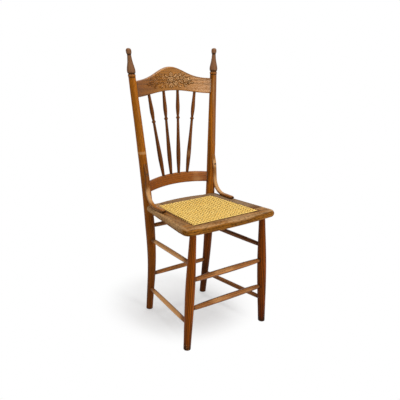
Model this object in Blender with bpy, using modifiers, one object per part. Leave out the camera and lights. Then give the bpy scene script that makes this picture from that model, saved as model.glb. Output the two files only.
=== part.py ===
"""Pressed-back side chair: turned frame, fan of spindles, bent hip braces and a caned seat.

Metres, +Z up. The chair faces -Y, its left side is at -X, and its feet stand on Z = 0.
"""

from math import cos, exp, pi, sin, tan

import bmesh
import bpy
from mathutils import Vector

# Driving dimensions of the whole chair
TOTAL_HEIGHT = 1.024
SEAT_HEIGHT = 0.455
GAP = 0.0003

# Rear posts: half the spread and the setback of the axis at five levels, then radii
POST_FOOT_X = 0.1379
POST_FOOT_Y = 0.1720
POST_BEND_HEIGHT = 0.23
POST_BEND_X = 0.1392
POST_BEND_Y = 0.1503
POST_SEAT_X = 0.1510
POST_SEAT_Y = 0.1571
POST_SHOULDER_RISE = 0.145
POST_SHOULDER_X = 0.1606
POST_SHOULDER_Y = 0.1701
POST_TOP_X = 0.1935
POST_TOP_Y = 0.2131
POST_FOOT_RADIUS = 0.0132
POST_BELLY_RADIUS = 0.0185
POST_BELLY_DROP = 0.095
POST_SEAT_RADIUS = 0.0179
POST_NECK_RADIUS = 0.0133
POST_RING_HEIGHT = 0.198
POST_RING_RADIUS = 0.0164
POST_RING_LENGTH = 0.012
POST_UPPER_RADIUS = 0.0158

# Finial turned on the top of each post, measured down from its tip
FINIAL_BALL_RADIUS = 0.0100
FINIAL_BALL_LENGTH = 0.0218
FINIAL_NECK_RADIUS = 0.0075
FINIAL_BULB_RADIUS = 0.0153
FINIAL_BULB_LENGTH = 0.0665
FINIAL_GROOVE_RADIUS = 0.0124
FINIAL_BEAD_RADIUS = 0.0137
FINIAL_BEAD_LENGTH = 0.0112

# Outlines of the finial's bulb and ball: share of the length, share of the swell over the neck
BULB_OUTLINE = ((0.05, 0.80), (0.14, 1.0), (0.28, 0.90), (0.42, 0.66), (0.58, 0.35), (0.78, 0.11), (1.0, 0.0))
BALL_OUTLINE = ((0.2, 0.64), (0.45, 1.0), (0.72, 0.85), (0.92, 0.25), (1.0, -0.6))
BEAD_SHOULDERS = (0.3, 0.7)

# Front legs: place of the top under the seat, splay of the foot, radii
LEG_SIDE_INSET = 0.0490
LEG_FRONT_INSET = 0.0383
LEG_SPLAY_X = 0.0228
LEG_SPLAY_Y = 0.0085
LEG_TENON_RADIUS = 0.0098
LEG_TENON_DEPTH = 0.015
LEG_TOP_RADIUS = 0.0118
LEG_SWELL_RADIUS = 0.0171
LEG_SWELL_HEIGHT = 0.235
LEG_FOOT_RADIUS = 0.0131

# Seat frame
SEAT_THICKNESS = 0.022
SEAT_DEPTH = 0.3301
SEAT_FRONT_HALF = 0.2065
SEAT_FRONT_BOW = 0.012
SEAT_BACK_BOW = 0.012
SEAT_EAR = 0.0135
SEAT_POST_COPE = 0.006
SEAT_NOSE_RADIUS = 0.009
SEAT_CORNER_RADIUS = 0.024
SEAT_EAR_RADIUS = 0.014
FRONT_RAIL_DEPTH = 0.057
FRONT_JOINT_STEP = 0.016
BACK_RAIL_DEPTH = 0.051
SIDE_RAIL_FRONT_WIDTH = 0.0715
SIDE_RAIL_BACK_WIDTH = 0.0525

# Cane panel lying over the opening
CANE_MARGIN = 0.012
CANE_THICKNESS = 0.0016
CANE_BAR = 0.0052
CANE_GAPS_ACROSS = 13
CANE_GAPS_DEEP = 13

# Crest rail, measured down from the top of the chair
CREST_HUMP_DROP = 0.0677
CREST_END_DROP = 0.1145
CREST_FOOT_DROP = 0.1720
CREST_ARCH = 0.0162
CREST_THICKNESS = 0.017
CREST_BOW = 0.0345
CREST_ROUNDING = 0.005
CREST_TENON = 0.008
CREST_HUMP_SPREAD = 0.468

# Lower back rail, measured up from the seat
LOWER_RAIL_RISE = 0.0440
LOWER_RAIL_HEIGHT = 0.039
LOWER_RAIL_CROWN = 0.0105
LOWER_RAIL_ARCH = 0.0075
LOWER_RAIL_THICKNESS = 0.015
LOWER_RAIL_BOW = 0.0315
LOWER_RAIL_ROUNDING = 0.005
LOWER_RAIL_TENON = 0.009

# Spindles of the back
SPINDLE_TOP_PLACES = (-0.1055, -0.0325, 0.0325, 0.1055)
SPINDLE_FOOT_PLACES = (-0.0572, -0.0184, 0.0184, 0.0572)
SPINDLE_TENON_RADIUS = 0.0052
SPINDLE_TENON = 0.012
SPINDLE_BEAD_RADIUS = 0.0074
SPINDLE_SWELL_RADIUS = 0.0085
SPINDLE_CALF_RADIUS = 0.0077
SPINDLE_NECK_RADIUS = 0.0063
SPINDLE_WAIST_RADIUS = 0.0051
SPINDLE_OUTLINE = ((0.10, SPINDLE_NECK_RADIUS), (0.21, SPINDLE_CALF_RADIUS), (0.28, SPINDLE_NECK_RADIUS),
                   (0.308, SPINDLE_WAIST_RADIUS), (0.316, SPINDLE_BEAD_RADIUS),
                   (0.334, SPINDLE_BEAD_RADIUS), (0.342, SPINDLE_WAIST_RADIUS),
                   (0.48, SPINDLE_NECK_RADIUS), (0.64, SPINDLE_CALF_RADIUS),
                   (0.77, SPINDLE_SWELL_RADIUS), (0.87, SPINDLE_CALF_RADIUS))

# Rungs: heights where they meet the legs and posts, then radii
FRONT_UPPER_HEIGHT = 0.2609
FRONT_LOWER_HEIGHT = 0.153
SIDE_UPPER_FRONT_HEIGHT = 0.3199
SIDE_UPPER_REAR_HEIGHT = 0.3142
SIDE_LOWER_FRONT_HEIGHT = 0.0985
SIDE_LOWER_REAR_HEIGHT = 0.0960
REAR_UPPER_HEIGHT = 0.366
REAR_LOWER_HEIGHT = 0.1605
FRONT_RUNG_RADIUS = 0.0108
SIDE_RUNG_RADIUS = 0.0089
REAR_RUNG_RADIUS = 0.0092
RUNG_TENON_RADIUS = 0.0076
RUNG_TENON = 0.010
RUNG_COLLAR = 0.006
RUNG_FULLNESS = 0.5

# Bent hip braces between the posts and the side rails
BRACE_RISE = 0.158
BRACE_SET = 0.97
BRACE_REACH = 0.127
BRACE_WIDTH = 0.0168
BRACE_THICKNESS = 0.0115
BRACE_TIP_THICKNESS = 0.004
BRACE_TAPER = 0.036
BRACE_NOSE = 0.006
BRACE_NOSE_DROP = 0.003
BRACE_BEND_RADIUS = 0.060
BRACE_LET_IN = 0.003
BRACE_ROUNDING = 0.003

# Dowels and slotted wood screws
DOWEL_RADIUS = 0.004
DOWEL_HALF_LENGTH = 0.014
DOWEL_SHARES = (0.27, 0.73)
SCREW_HEAD_RADIUS = 0.0036
SCREW_HEAD_DEPTH = 0.0022
SCREW_SHANK_RADIUS = 0.0018
SCREW_TIP = 0.004
SCREW_SUNK = 0.0004
SCREW_SLOT_WIDTH = 0.0009
SCREW_SLOT_DEPTH = 0.0011
BRACE_SCREW_LENGTH = 0.026
BRACE_SCREW_DROP = 0.038
FOOT_SCREW_LENGTH = 0.028
FOOT_SCREW_INSET = 0.026
POST_SCREW_LENGTH = 0.055
POST_SCREW_SUNK = 0.0012

# Fineness of the meshes
POST_SIDES = 14
LEG_SIDES = 16
RUNG_SIDES = 14
SPINDLE_SIDES = 12
SCREW_SIDES = 10
HOLE_SIDES = 14
POST_STEP = 0.052
ARC_STEPS = 5
NOSE_STEPS = 2
CREST_STATIONS = 24
LOWER_RAIL_STATIONS = 16
LEG_LEVELS = 10
RUNG_STATIONS = 8
BOW_STEPS = 6
BOW_REACH = 0.6
SEARCH_STEPS = 4
BRACE_ARC_STEPS = 8
CORNER_STEPS = 2
SHARP_ANGLE = pi / 5
WELD = GAP / 30
BEYOND = 0.02

SIDES = (("left", -1), ("right", 1))


# Places worked out from the driving dimensions

def spline(knots, at):
    """Smooth curve through (position, value) knots, straight beyond both ends."""
    slopes = [(b[1] - a[1]) / (b[0] - a[0]) for a, b in zip(knots, knots[1:])]
    inner = [(a + b) / 2 for a, b in zip(slopes, slopes[1:])]
    tangents = [slopes[0]] + inner + [slopes[-1]]
    if at <= knots[0][0]:
        return knots[0][1] + tangents[0] * (at - knots[0][0])
    for start, end, m0, m1 in zip(knots, knots[1:], tangents, tangents[1:]):
        if at <= end[0]:
            span = end[0] - start[0]
            t = (at - start[0]) / span
            rise = end[1] - start[1]
            return (start[1] + span * m0 * t
                    + (3 * rise - span * (2 * m0 + m1)) * t ** 2
                    + (span * (m0 + m1) - 2 * rise) * t ** 3)
    return knots[-1][1] + tangents[-1] * (at - knots[-1][0])


def straight(knots, at):
    """Straight runs between (position, value) knots."""
    for start, end in zip(knots, knots[1:]):
        if at <= end[0]:
            t = (at - start[0]) / (end[0] - start[0])
            return start[1] + max(t, 0.0) * (end[1] - start[1])
    return knots[-1][1]


def post_axis(height, side=1):
    """Point on a rear post's bent axis."""
    shoulder = SEAT_HEIGHT + POST_SHOULDER_RISE
    spread = ((0.0, POST_FOOT_X), (POST_BEND_HEIGHT, POST_BEND_X), (SEAT_HEIGHT, POST_SEAT_X),
              (shoulder, POST_SHOULDER_X), (TOTAL_HEIGHT, POST_TOP_X))
    setback = ((0.0, POST_FOOT_Y), (POST_BEND_HEIGHT, POST_BEND_Y), (SEAT_HEIGHT, POST_SEAT_Y),
               (shoulder, POST_SHOULDER_Y), (TOTAL_HEIGHT, POST_TOP_Y))
    return Vector((side * spline(spread, height), spline(setback, height), height))


def finial_profile():
    """Heights and radii of the finial, from its lower groove up to its tip."""
    ball_foot = TOTAL_HEIGHT - FINIAL_BALL_LENGTH
    bulb_foot = ball_foot - FINIAL_BULB_LENGTH
    foot = bulb_foot - FINIAL_BEAD_LENGTH
    profile = [(foot, FINIAL_GROOVE_RADIUS)]
    for t in BEAD_SHOULDERS:
        profile.append((foot + t * FINIAL_BEAD_LENGTH, FINIAL_BEAD_RADIUS))
    profile.append((bulb_foot, FINIAL_GROOVE_RADIUS))
    for t, share in BULB_OUTLINE:
        radius = FINIAL_NECK_RADIUS + share * (FINIAL_BULB_RADIUS - FINIAL_NECK_RADIUS)
        profile.append((bulb_foot + t * FINIAL_BULB_LENGTH, radius))
    for t, share in BALL_OUTLINE:
        radius = FINIAL_NECK_RADIUS + share * (FINIAL_BALL_RADIUS - FINIAL_NECK_RADIUS)
        profile.append((ball_foot + t * FINIAL_BALL_LENGTH, radius))
    return profile


def shaft_knots():
    """Heights and radii of a post from its foot to its finial."""
    ring = SEAT_HEIGHT + POST_RING_HEIGHT
    return ((0.0, POST_FOOT_RADIUS),
            (SEAT_HEIGHT - POST_BELLY_DROP, POST_BELLY_RADIUS),
            (SEAT_HEIGHT, POST_SEAT_RADIUS),
            (ring - POST_RING_LENGTH, POST_UPPER_RADIUS),
            (ring, POST_RING_RADIUS),
            (ring + POST_RING_LENGTH, POST_UPPER_RADIUS),
            (finial_profile()[0][0] - POST_RING_LENGTH, POST_NECK_RADIUS))


def post_radius(height):
    """Radius of a post's shaft at a height."""
    return straight(shaft_knots(), height)


def post_profile():
    """All heights and radii along a post, from under the floor to the finial's tip."""
    knots = shaft_knots()
    heights = {-BEYOND}
    for start, end in zip(knots, knots[1:]):
        count = max(1, round((end[0] - start[0]) / POST_STEP))
        for step in range(count + 1):
            heights.add(round(start[0] + step / count * (end[0] - start[0]), 6))
    return [(height, post_radius(height)) for height in sorted(heights)] + finial_profile()


SEAT_UNDERSIDE = SEAT_HEIGHT - SEAT_THICKNESS
SEAT_MIDDLE = SEAT_HEIGHT - SEAT_THICKNESS / 2
SEAT_BACK_Y = POST_SEAT_Y - SEAT_POST_COPE
SEAT_BACK_HALF = POST_SEAT_X + SEAT_EAR
SEAT_FRONT_Y = SEAT_BACK_Y - SEAT_DEPTH
SEAT_CORNER_Y = SEAT_FRONT_Y + SEAT_FRONT_BOW
OPENING_FRONT_Y = SEAT_FRONT_Y + FRONT_RAIL_DEPTH
OPENING_BACK_Y = SEAT_BACK_Y - BACK_RAIL_DEPTH
OPENING_FRONT_HALF = SEAT_FRONT_HALF - SIDE_RAIL_FRONT_WIDTH
OPENING_BACK_HALF = SEAT_BACK_HALF - SIDE_RAIL_BACK_WIDTH
FRONT_JOINT_Y = OPENING_FRONT_Y + FRONT_JOINT_STEP
LEG_TOP_X = SEAT_FRONT_HALF - LEG_SIDE_INSET
LEG_TOP_Y = SEAT_FRONT_Y + LEG_FRONT_INSET
BRACE_TOP = SEAT_HEIGHT + BRACE_RISE
BRACE_X = post_axis(SEAT_HEIGHT + BRACE_SET * BRACE_RISE).x
BRACE_END_Y = POST_SEAT_Y - BRACE_REACH
BRACE_FOOT_MIDDLE = SEAT_HEIGHT + GAP + BRACE_THICKNESS / 2


def leg_axis(height, side=1):
    """Point on a front leg's straight axis."""
    drop = (SEAT_UNDERSIDE - height) / SEAT_UNDERSIDE
    return Vector((side * (LEG_TOP_X + drop * LEG_SPLAY_X), LEG_TOP_Y - drop * LEG_SPLAY_Y, height))


def leg_radius(height):
    """Radius of a front leg at a height."""
    knots = ((0.0, LEG_FOOT_RADIUS), (LEG_SWELL_HEIGHT, LEG_SWELL_RADIUS),
             (SEAT_UNDERSIDE - LEG_TENON_DEPTH, LEG_TOP_RADIUS))
    return spline(knots, height)


def opening_edge(y):
    """Half-width of the seat's opening, and of the joints in line with it, at a depth."""
    t = (y - OPENING_FRONT_Y) / (OPENING_BACK_Y - OPENING_FRONT_Y)
    return OPENING_FRONT_HALF + t * (OPENING_BACK_HALF - OPENING_FRONT_HALF)


def seat_edge(y):
    """Half-width of the seat's outer edge at a depth."""
    t = (y - SEAT_CORNER_Y) / (SEAT_BACK_Y - SEAT_CORNER_Y)
    return SEAT_FRONT_HALF + t * (SEAT_BACK_HALF - SEAT_FRONT_HALF)


def back_point(share, height, bow):
    """Point of the bowed back between the posts; share is -1 at the left post, 1 at the right."""
    axis = post_axis(height)
    return Vector((share * axis.x, axis.y + bow * (1 - share ** 2), height))


def crest_edges(share):
    """Lower and upper edge of the crest rail."""
    end = TOTAL_HEIGHT - CREST_END_DROP
    hump = TOTAL_HEIGHT - CREST_HUMP_DROP
    top = end + (hump - end) * exp(-(share / CREST_HUMP_SPREAD) ** 2)
    foot = TOTAL_HEIGHT - CREST_FOOT_DROP + CREST_ARCH * (1 + cos(pi * share)) / 2
    return foot, top


def lower_rail_edges(share):
    """Lower and upper edge of the lower back rail."""
    foot = SEAT_HEIGHT + LOWER_RAIL_RISE
    arch = 1 - share ** 2
    return foot + LOWER_RAIL_ARCH * arch, foot + LOWER_RAIL_HEIGHT + LOWER_RAIL_CROWN * arch


CHAIR_BACK_Y = back_point(0.0, crest_edges(0.0)[1] - CREST_ROUNDING, CREST_BOW).y + CREST_THICKNESS / 2
CENTRE_Y = (SEAT_FRONT_Y + CHAIR_BACK_Y) / 2


# Scene, collections and materials

for item in list(bpy.data.objects):
    bpy.data.objects.remove(item)

parts = bpy.data.collections.new("pressed_back_chair")
cutters = bpy.data.collections.new("cutters")
for collection in (parts, cutters):
    bpy.context.scene.collection.children.link(collection)

chair = bpy.data.objects.new("chair", None)
chair.location = (0.0, -CENTRE_Y, 0.0)
parts.objects.link(chair)


def material(name, colour, roughness, metallic=0.0):
    """Principled material of one colour."""
    made = bpy.data.materials.new(name)
    made.use_nodes = True
    shader = made.node_tree.nodes["Principled BSDF"]
    shader.inputs["Base Color"].default_value = (*colour, 1.0)
    shader.inputs["Roughness"].default_value = roughness
    shader.inputs["Metallic"].default_value = metallic
    made.diffuse_color = (*colour, 1.0)
    return made


POST_OAK = material("post_oak", (0.25, 0.10, 0.028), 0.38)
LEG_OAK = material("leg_oak", (0.22, 0.085, 0.022), 0.40)
CREST_OAK = material("crest_oak", (0.30, 0.125, 0.035), 0.35)
RAIL_OAK = material("rail_oak", (0.27, 0.11, 0.03), 0.38)
SPINDLE_OAK = material("spindle_oak", (0.17, 0.065, 0.018), 0.40)
RUNG_OAK = material("rung_oak", (0.28, 0.12, 0.035), 0.42)
SEAT_OAK = material("seat_oak", (0.24, 0.12, 0.055), 0.45)
BRACE_OAK = material("brace_oak", (0.33, 0.16, 0.055), 0.36)
CANE = material("cane", (0.72, 0.46, 0.14), 0.5)
DOWEL_BIRCH = material("dowel_birch", (0.55, 0.38, 0.2), 0.6)
SCREW_STEEL = material("screw_steel", (0.12, 0.11, 0.10), 0.45, 1.0)


# Modelling helpers

def place(name, data, finish=None):
    """Object under the chair's frame: a part where it has a finish, otherwise a cutter."""
    item = bpy.data.objects.new(name, data)
    item.parent = chair
    if finish:
        data.materials.append(finish)
        parts.objects.link(item)
    else:
        item.hide_render = True
        item.display_type = "WIRE"
        cutters.objects.link(item)
    return item


def smooth(mesh):
    """Smooth shading that keeps the sharp edges."""
    mesh.shade_smooth()
    mesh.set_sharp_from_angle(angle=SHARP_ANGLE)


def as_mesh(item, finish=None):
    """Mesh object in place of a curve object, with its caps welded on."""
    bpy.context.view_layer.update()
    graph = bpy.context.evaluated_depsgraph_get()
    mesh = bpy.data.meshes.new_from_object(item.evaluated_get(graph))
    mesh.materials.clear()
    welder = bmesh.new()
    welder.from_mesh(mesh)
    bmesh.ops.remove_doubles(welder, verts=welder.verts, dist=WELD)
    bmesh.ops.recalc_face_normals(welder, faces=welder.faces)
    welder.to_mesh(mesh)
    welder.free()
    smooth(mesh)
    name = item.name
    matrix = item.matrix_local.copy()
    bpy.data.objects.remove(item)
    made = place(name, mesh, finish)
    made.matrix_local = matrix
    return made


def tube(name, points, radii, sides, finish=None):
    """Round bar along points, with a radius at each."""
    curve = bpy.data.curves.new(name, "CURVE")
    curve.dimensions = "3D"
    curve.bevel_depth = 1.0
    curve.bevel_resolution = (sides - 4) // 2
    curve.use_fill_caps = True
    line = curve.splines.new("POLY")
    line.points.add(len(points) - 1)
    for knot, point, radius in zip(line.points, points, radii):
        knot.co = (*point, 1.0)
        knot.radius = radius
    return as_mesh(place(name, curve), finish)


def slab(name, outlines, middle, thickness, nose=0.0, finish=None):
    """Flat board from closed outlines, its edges rounded by the nose."""
    curve = bpy.data.curves.new(name, "CURVE")
    curve.dimensions = "2D"
    curve.fill_mode = "BOTH"
    curve.extrude = thickness / 2 - nose
    curve.bevel_depth = nose
    curve.bevel_resolution = NOSE_STEPS
    curve.offset = -nose
    for outline in outlines:
        line = curve.splines.new("POLY")
        line.use_cyclic_u = True
        line.points.add(len(outline) - 1)
        for knot, point in zip(line.points, outline):
            knot.co = (*point, 0.0, 1.0)
    item = place(name, curve)
    item.location.z = middle
    return as_mesh(item, finish)


def rounded(corners, steps):
    """Points of a line whose (point, radius) corners are rounded with arcs."""
    points = []
    count = len(corners)
    for index, (corner, radius) in enumerate(corners):
        corner = Vector(corner)
        if radius == 0.0:
            points.append(corner)
            continue
        before = (Vector(corners[index - 1][0]) - corner).normalized()
        after = (Vector(corners[(index + 1) % count][0]) - corner).normalized()
        half = before.angle(after) / 2
        centre = corner + (before + after).normalized() * radius / sin(half)
        start = corner + before * radius / tan(half) - centre
        end = corner + after * radius / tan(half) - centre
        sweep = start.angle(end)
        for step in range(steps + 1):
            t = step / steps
            points.append(centre + (start * sin((1 - t) * sweep) + end * sin(t * sweep)) / sin(sweep))
    return points


def turned(name, profile, sides, finish=None):
    """Solid turned about Z from (radius, height) points that run from its top to its bottom."""
    ring = [(0.0, profile[0][1])] + list(profile) + [(0.0, profile[-1][1])]
    outline = bmesh.new()
    knots = [outline.verts.new((radius, 0.0, height)) for radius, height in ring]
    for start, end in zip(knots, knots[1:]):
        outline.edges.new((start, end))
    item = place(name, as_data(name, outline), finish)
    lathe = item.modifiers.new("Lathe", "SCREW")
    lathe.axis = "Z"
    lathe.steps = sides
    lathe.render_steps = sides
    lathe.use_merge_vertices = True
    lathe.merge_threshold = WELD
    lathe.use_smooth_shade = True
    return item


def aim(item, start, end):
    """Stand an object that is modelled along Z at a point, pointing at another."""
    item.location = start
    item.rotation_mode = "QUATERNION"
    item.rotation_quaternion = (end - start).to_track_quat("Z", "Y")
    return item


def as_data(name, shape):
    """Mesh data from a bmesh, which is then done with."""
    mesh = bpy.data.meshes.new(name)
    shape.to_mesh(mesh)
    shape.free()
    return mesh


def bore(name, start, end, radius):
    """Cutter for a round hole between two points, its flats at the radius."""
    length = (end - start).length
    corner = radius / cos(pi / HOLE_SIDES)
    drill = bmesh.new()
    bmesh.ops.create_cone(drill, cap_ends=True, segments=HOLE_SIDES, radius1=corner, radius2=corner,
                          depth=length)
    bmesh.ops.translate(drill, verts=drill.verts, vec=(0.0, 0.0, length / 2))
    return aim(place(name, as_data(name, drill)), start, end)


def loft(name, sections, finish=None):
    """Closed solid through a row of sections with the same number of points."""
    skin = bmesh.new()
    rings = [[skin.verts.new(point) for point in section] for section in sections]
    for near, far in zip(rings, rings[1:]):
        for index in range(len(near)):
            skin.faces.new((near[index - 1], near[index], far[index], far[index - 1]))
    skin.faces.new(rings[0])
    skin.faces.new(rings[-1])
    bmesh.ops.recalc_face_normals(skin, faces=skin.faces)
    mesh = as_data(name, skin)
    smooth(mesh)
    return place(name, mesh, finish)


def section(half_width, half_height, rounding):
    """Rounded rectangle about its centre, as (across, up) points."""
    corners = [((-half_width, -half_height), rounding), ((half_width, -half_height), rounding),
               ((half_width, half_height), rounding), ((-half_width, half_height), rounding)]
    return rounded(corners, CORNER_STEPS)


def cut(target, *tools, keep=False):
    """Cut tools out of a part, or keep only what lies inside them."""
    for tool in tools:
        step = target.modifiers.new(tool.name, "BOOLEAN")
        step.operation = "INTERSECT" if keep else "DIFFERENCE"
        step.solver = "EXACT"
        step.object = tool


# Rear posts, front legs and the level cut under their feet

def rear_post(name, side, grow=0.0, finish=None):
    """Bent and turned post from the floor to the finial."""
    profile = post_profile()
    points = [post_axis(height, side) for height, _ in profile]
    radii = [radius + grow for _, radius in profile]
    return tube(name, points, radii, POST_SIDES, finish)


def front_leg(name, side):
    """Swelled leg with a round tenon that goes up into the front rail."""
    foot = leg_axis(-BEYOND, side)
    top = leg_axis(SEAT_UNDERSIDE, side)
    length = (top - foot).length
    shoulder = length - LEG_TENON_DEPTH
    profile = [(LEG_TENON_RADIUS, length + LEG_TENON_DEPTH), (LEG_TENON_RADIUS, length - GAP)]
    for level in range(LEG_LEVELS + 1):
        height = shoulder * (1 - level / LEG_LEVELS)
        profile.append((leg_radius(height - BEYOND), height))
    return aim(turned(name, profile, LEG_SIDES, LEG_OAK), foot, top)


def leg_socket(name, side):
    """Cutter of a front leg's hole in the front rail."""
    foot = leg_axis(-BEYOND, side)
    top = leg_axis(SEAT_UNDERSIDE, side)
    tip = top + (top - foot).normalized() * (LEG_TENON_DEPTH + GAP)
    return bore(name, leg_axis(SEAT_UNDERSIDE - BEYOND, side), tip, LEG_TENON_RADIUS + GAP)


def floor_block():
    """Cutter for everything under the floor."""
    block = bmesh.new()
    bmesh.ops.create_cube(block, size=2 * TOTAL_HEIGHT)
    bmesh.ops.translate(block, verts=block.verts, vec=(0.0, 0.0, -TOTAL_HEIGHT))
    return place("floor", as_data("floor", block))


# Rungs

def rung(name, ends, radius, carriers):
    """Barrel-shaped rung; each end is a point on a carrier's axis and the carrier's radius there."""
    (start, start_radius), (end, end_radius) = ends
    along = (end - start).normalized()
    start = start + along * (start_radius - RUNG_TENON)
    end = end - along * (end_radius - RUNG_TENON)
    length = (end - start).length
    plain = RUNG_TENON + RUNG_COLLAR
    profile = [(RUNG_TENON_RADIUS, length)]
    for station in range(RUNG_STATIONS + 1):
        t = station / RUNG_STATIONS
        swell = (radius - RUNG_TENON_RADIUS) * max(sin(pi * t), 0.0) ** RUNG_FULLNESS
        profile.append((RUNG_TENON_RADIUS + swell, length - plain - t * (length - 2 * plain)))
    profile.append((RUNG_TENON_RADIUS, 0.0))
    aim(turned(name, profile, RUNG_SIDES, RUNG_OAK), start, end)
    sockets = bore(name + "_sockets", start - along * GAP, end + along * GAP, RUNG_TENON_RADIUS + GAP)
    for carrier in carriers:
        cut(carrier, sockets)


def leg_end(height, side):
    """Where a rung meets a front leg."""
    return leg_axis(height, side), leg_radius(height)


def post_end(height, side):
    """Where a rung meets a rear post."""
    return post_axis(height, side), post_radius(height)


# Boards and spindles of the back

def board(name, edges, thickness, bow, rounding, tenon, stations, grow=0.0, finish=None):
    """Bent board between the posts, its ends let into them."""
    foot, top = edges(1.0)
    middle = (foot + top) / 2
    tip = 1 - (post_radius(middle) - tenon - grow) / post_axis(middle).x
    sections = []
    for station in range(stations + 1):
        share = tip * (2 * station / stations - 1)
        foot, top = edges(share)
        outline = section(thickness / 2 + grow, (top - foot) / 2 + grow, rounding + grow)
        points = [back_point(share, (foot + top) / 2 + rise, bow) for _, rise in outline]
        for point, (across, _) in zip(points, outline):
            point.y += across
        sections.append(points)
    return loft(name, sections, finish)


def spindle_end(offset, edges, which, bow):
    """Point where a spindle's axis meets an edge of a board, at an offset from the middle."""
    share = 0.0
    for _ in range(SEARCH_STEPS):
        height = edges(share)[which]
        share = offset / post_axis(height).x
    return back_point(share, height, bow)


def spindle_profile(length):
    """Radii and heights from the top tenon down to the bottom one."""
    body = length - 2 * SPINDLE_TENON
    profile = [(SPINDLE_TENON_RADIUS, length), (SPINDLE_TENON_RADIUS, length - SPINDLE_TENON)]
    profile += [(radius, length - SPINDLE_TENON - t * body) for t, radius in SPINDLE_OUTLINE]
    profile += [(SPINDLE_TENON_RADIUS, SPINDLE_TENON), (SPINDLE_TENON_RADIUS, 0.0)]
    return profile


def spindle(number, carriers):
    """One spindle of the fan, with its sockets in both boards."""
    head = spindle_end(SPINDLE_TOP_PLACES[number], crest_edges, 0, CREST_BOW)
    foot = spindle_end(SPINDLE_FOOT_PLACES[number], lower_rail_edges, 1, LOWER_RAIL_BOW)
    along = (head - foot).normalized()
    head = head + along * SPINDLE_TENON
    foot = foot - along * SPINDLE_TENON
    name = f"back_spindle_{number + 1}"
    aim(turned(name, spindle_profile((head - foot).length), SPINDLE_SIDES, SPINDLE_OAK), foot, head)
    sockets = bore(name + "_sockets", foot - along * GAP, head + along * GAP, SPINDLE_TENON_RADIUS + GAP)
    for carrier in carriers:
        cut(carrier, sockets)


# Seat frame and cane

def seat_outline():
    """Outer edge of the seat: bowed front and back, rounded corners and rounded rear ears."""
    corners = [((SEAT_BACK_HALF, SEAT_BACK_Y), SEAT_EAR_RADIUS)]
    joint = opening_edge(SEAT_BACK_Y)
    for step in range(BOW_STEPS + 1):
        share = 1 - 2 * step / BOW_STEPS
        corners.append(((share * joint, SEAT_BACK_Y + SEAT_BACK_BOW * (1 - share ** 2)), 0.0))
    corners += [((-SEAT_BACK_HALF, SEAT_BACK_Y), SEAT_EAR_RADIUS),
                ((-SEAT_FRONT_HALF, SEAT_CORNER_Y), SEAT_CORNER_RADIUS)]
    for step in range(BOW_STEPS + 1):
        share = BOW_REACH * (2 * step / BOW_STEPS - 1)
        corners.append(((share * SEAT_FRONT_HALF, SEAT_FRONT_Y + SEAT_FRONT_BOW * share ** 2), 0.0))
    corners.append(((SEAT_FRONT_HALF, SEAT_CORNER_Y), SEAT_CORNER_RADIUS))
    return rounded(corners, ARC_STEPS)


def seat_rail(name, region):
    """The piece of the seat's board that lies in a region of its plan."""
    rail = slab(name, [seat_outline()], SEAT_MIDDLE, SEAT_THICKNESS, SEAT_NOSE_RADIUS, SEAT_OAK)
    cut(rail, slab(name + "_region", [region], SEAT_MIDDLE, SEAT_THICKNESS + BEYOND), keep=True)
    return rail


def front_region():
    """Plan of the front rail, which reaches past the opening to the side rails."""
    wide = SEAT_FRONT_HALF + BEYOND
    edge = opening_edge(FRONT_JOINT_Y)
    return ((-wide, SEAT_FRONT_Y - BEYOND), (wide, SEAT_FRONT_Y - BEYOND), (wide, FRONT_JOINT_Y),
            (edge, FRONT_JOINT_Y), (OPENING_FRONT_HALF, OPENING_FRONT_Y),
            (-OPENING_FRONT_HALF, OPENING_FRONT_Y), (-edge, FRONT_JOINT_Y), (-wide, FRONT_JOINT_Y))


def rear_region():
    """Plan of the rear rail, which fits between the side rails."""
    deep = SEAT_BACK_Y + SEAT_BACK_BOW + BEYOND
    near = opening_edge(OPENING_BACK_Y) - GAP
    far = opening_edge(deep) - GAP
    return (-near, OPENING_BACK_Y), (near, OPENING_BACK_Y), (far, deep), (-far, deep)


def side_region(side):
    """Plan of a side rail, from the front rail to the post."""
    wide = SEAT_FRONT_HALF + BEYOND
    deep = SEAT_BACK_Y + BEYOND
    joint = FRONT_JOINT_Y + GAP
    return ((side * opening_edge(joint), joint), (side * wide, joint),
            (side * wide, deep), (side * opening_edge(deep), deep))


def cane_outlines():
    """Edge of the cane panel, which lies on the frame, and the gaps over the opening."""
    front = OPENING_FRONT_Y - CANE_MARGIN
    back = OPENING_BACK_Y + CANE_MARGIN
    near = opening_edge(front) + CANE_MARGIN
    far = opening_edge(back) + CANE_MARGIN
    outlines = [((-near, front), (near, front), (far, back), (-far, back))]
    depth = (OPENING_BACK_Y - OPENING_FRONT_Y) / CANE_GAPS_DEEP
    for row in range(CANE_GAPS_DEEP):
        low = OPENING_FRONT_Y + row * depth + CANE_BAR / 2
        high = OPENING_FRONT_Y + (row + 1) * depth - CANE_BAR / 2
        for column in range(CANE_GAPS_ACROSS):
            left = 2 * column / CANE_GAPS_ACROSS - 1
            right = 2 * (column + 1) / CANE_GAPS_ACROSS - 1
            outlines.append(((left * opening_edge(low) + CANE_BAR / 2, low),
                             (right * opening_edge(low) - CANE_BAR / 2, low),
                             (right * opening_edge(high) - CANE_BAR / 2, high),
                             (left * opening_edge(high) + CANE_BAR / 2, high)))
    return outlines


# Hip braces

def post_front(height):
    """Depth of the front of a post at a height."""
    return post_axis(height).y - post_radius(height)


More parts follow.
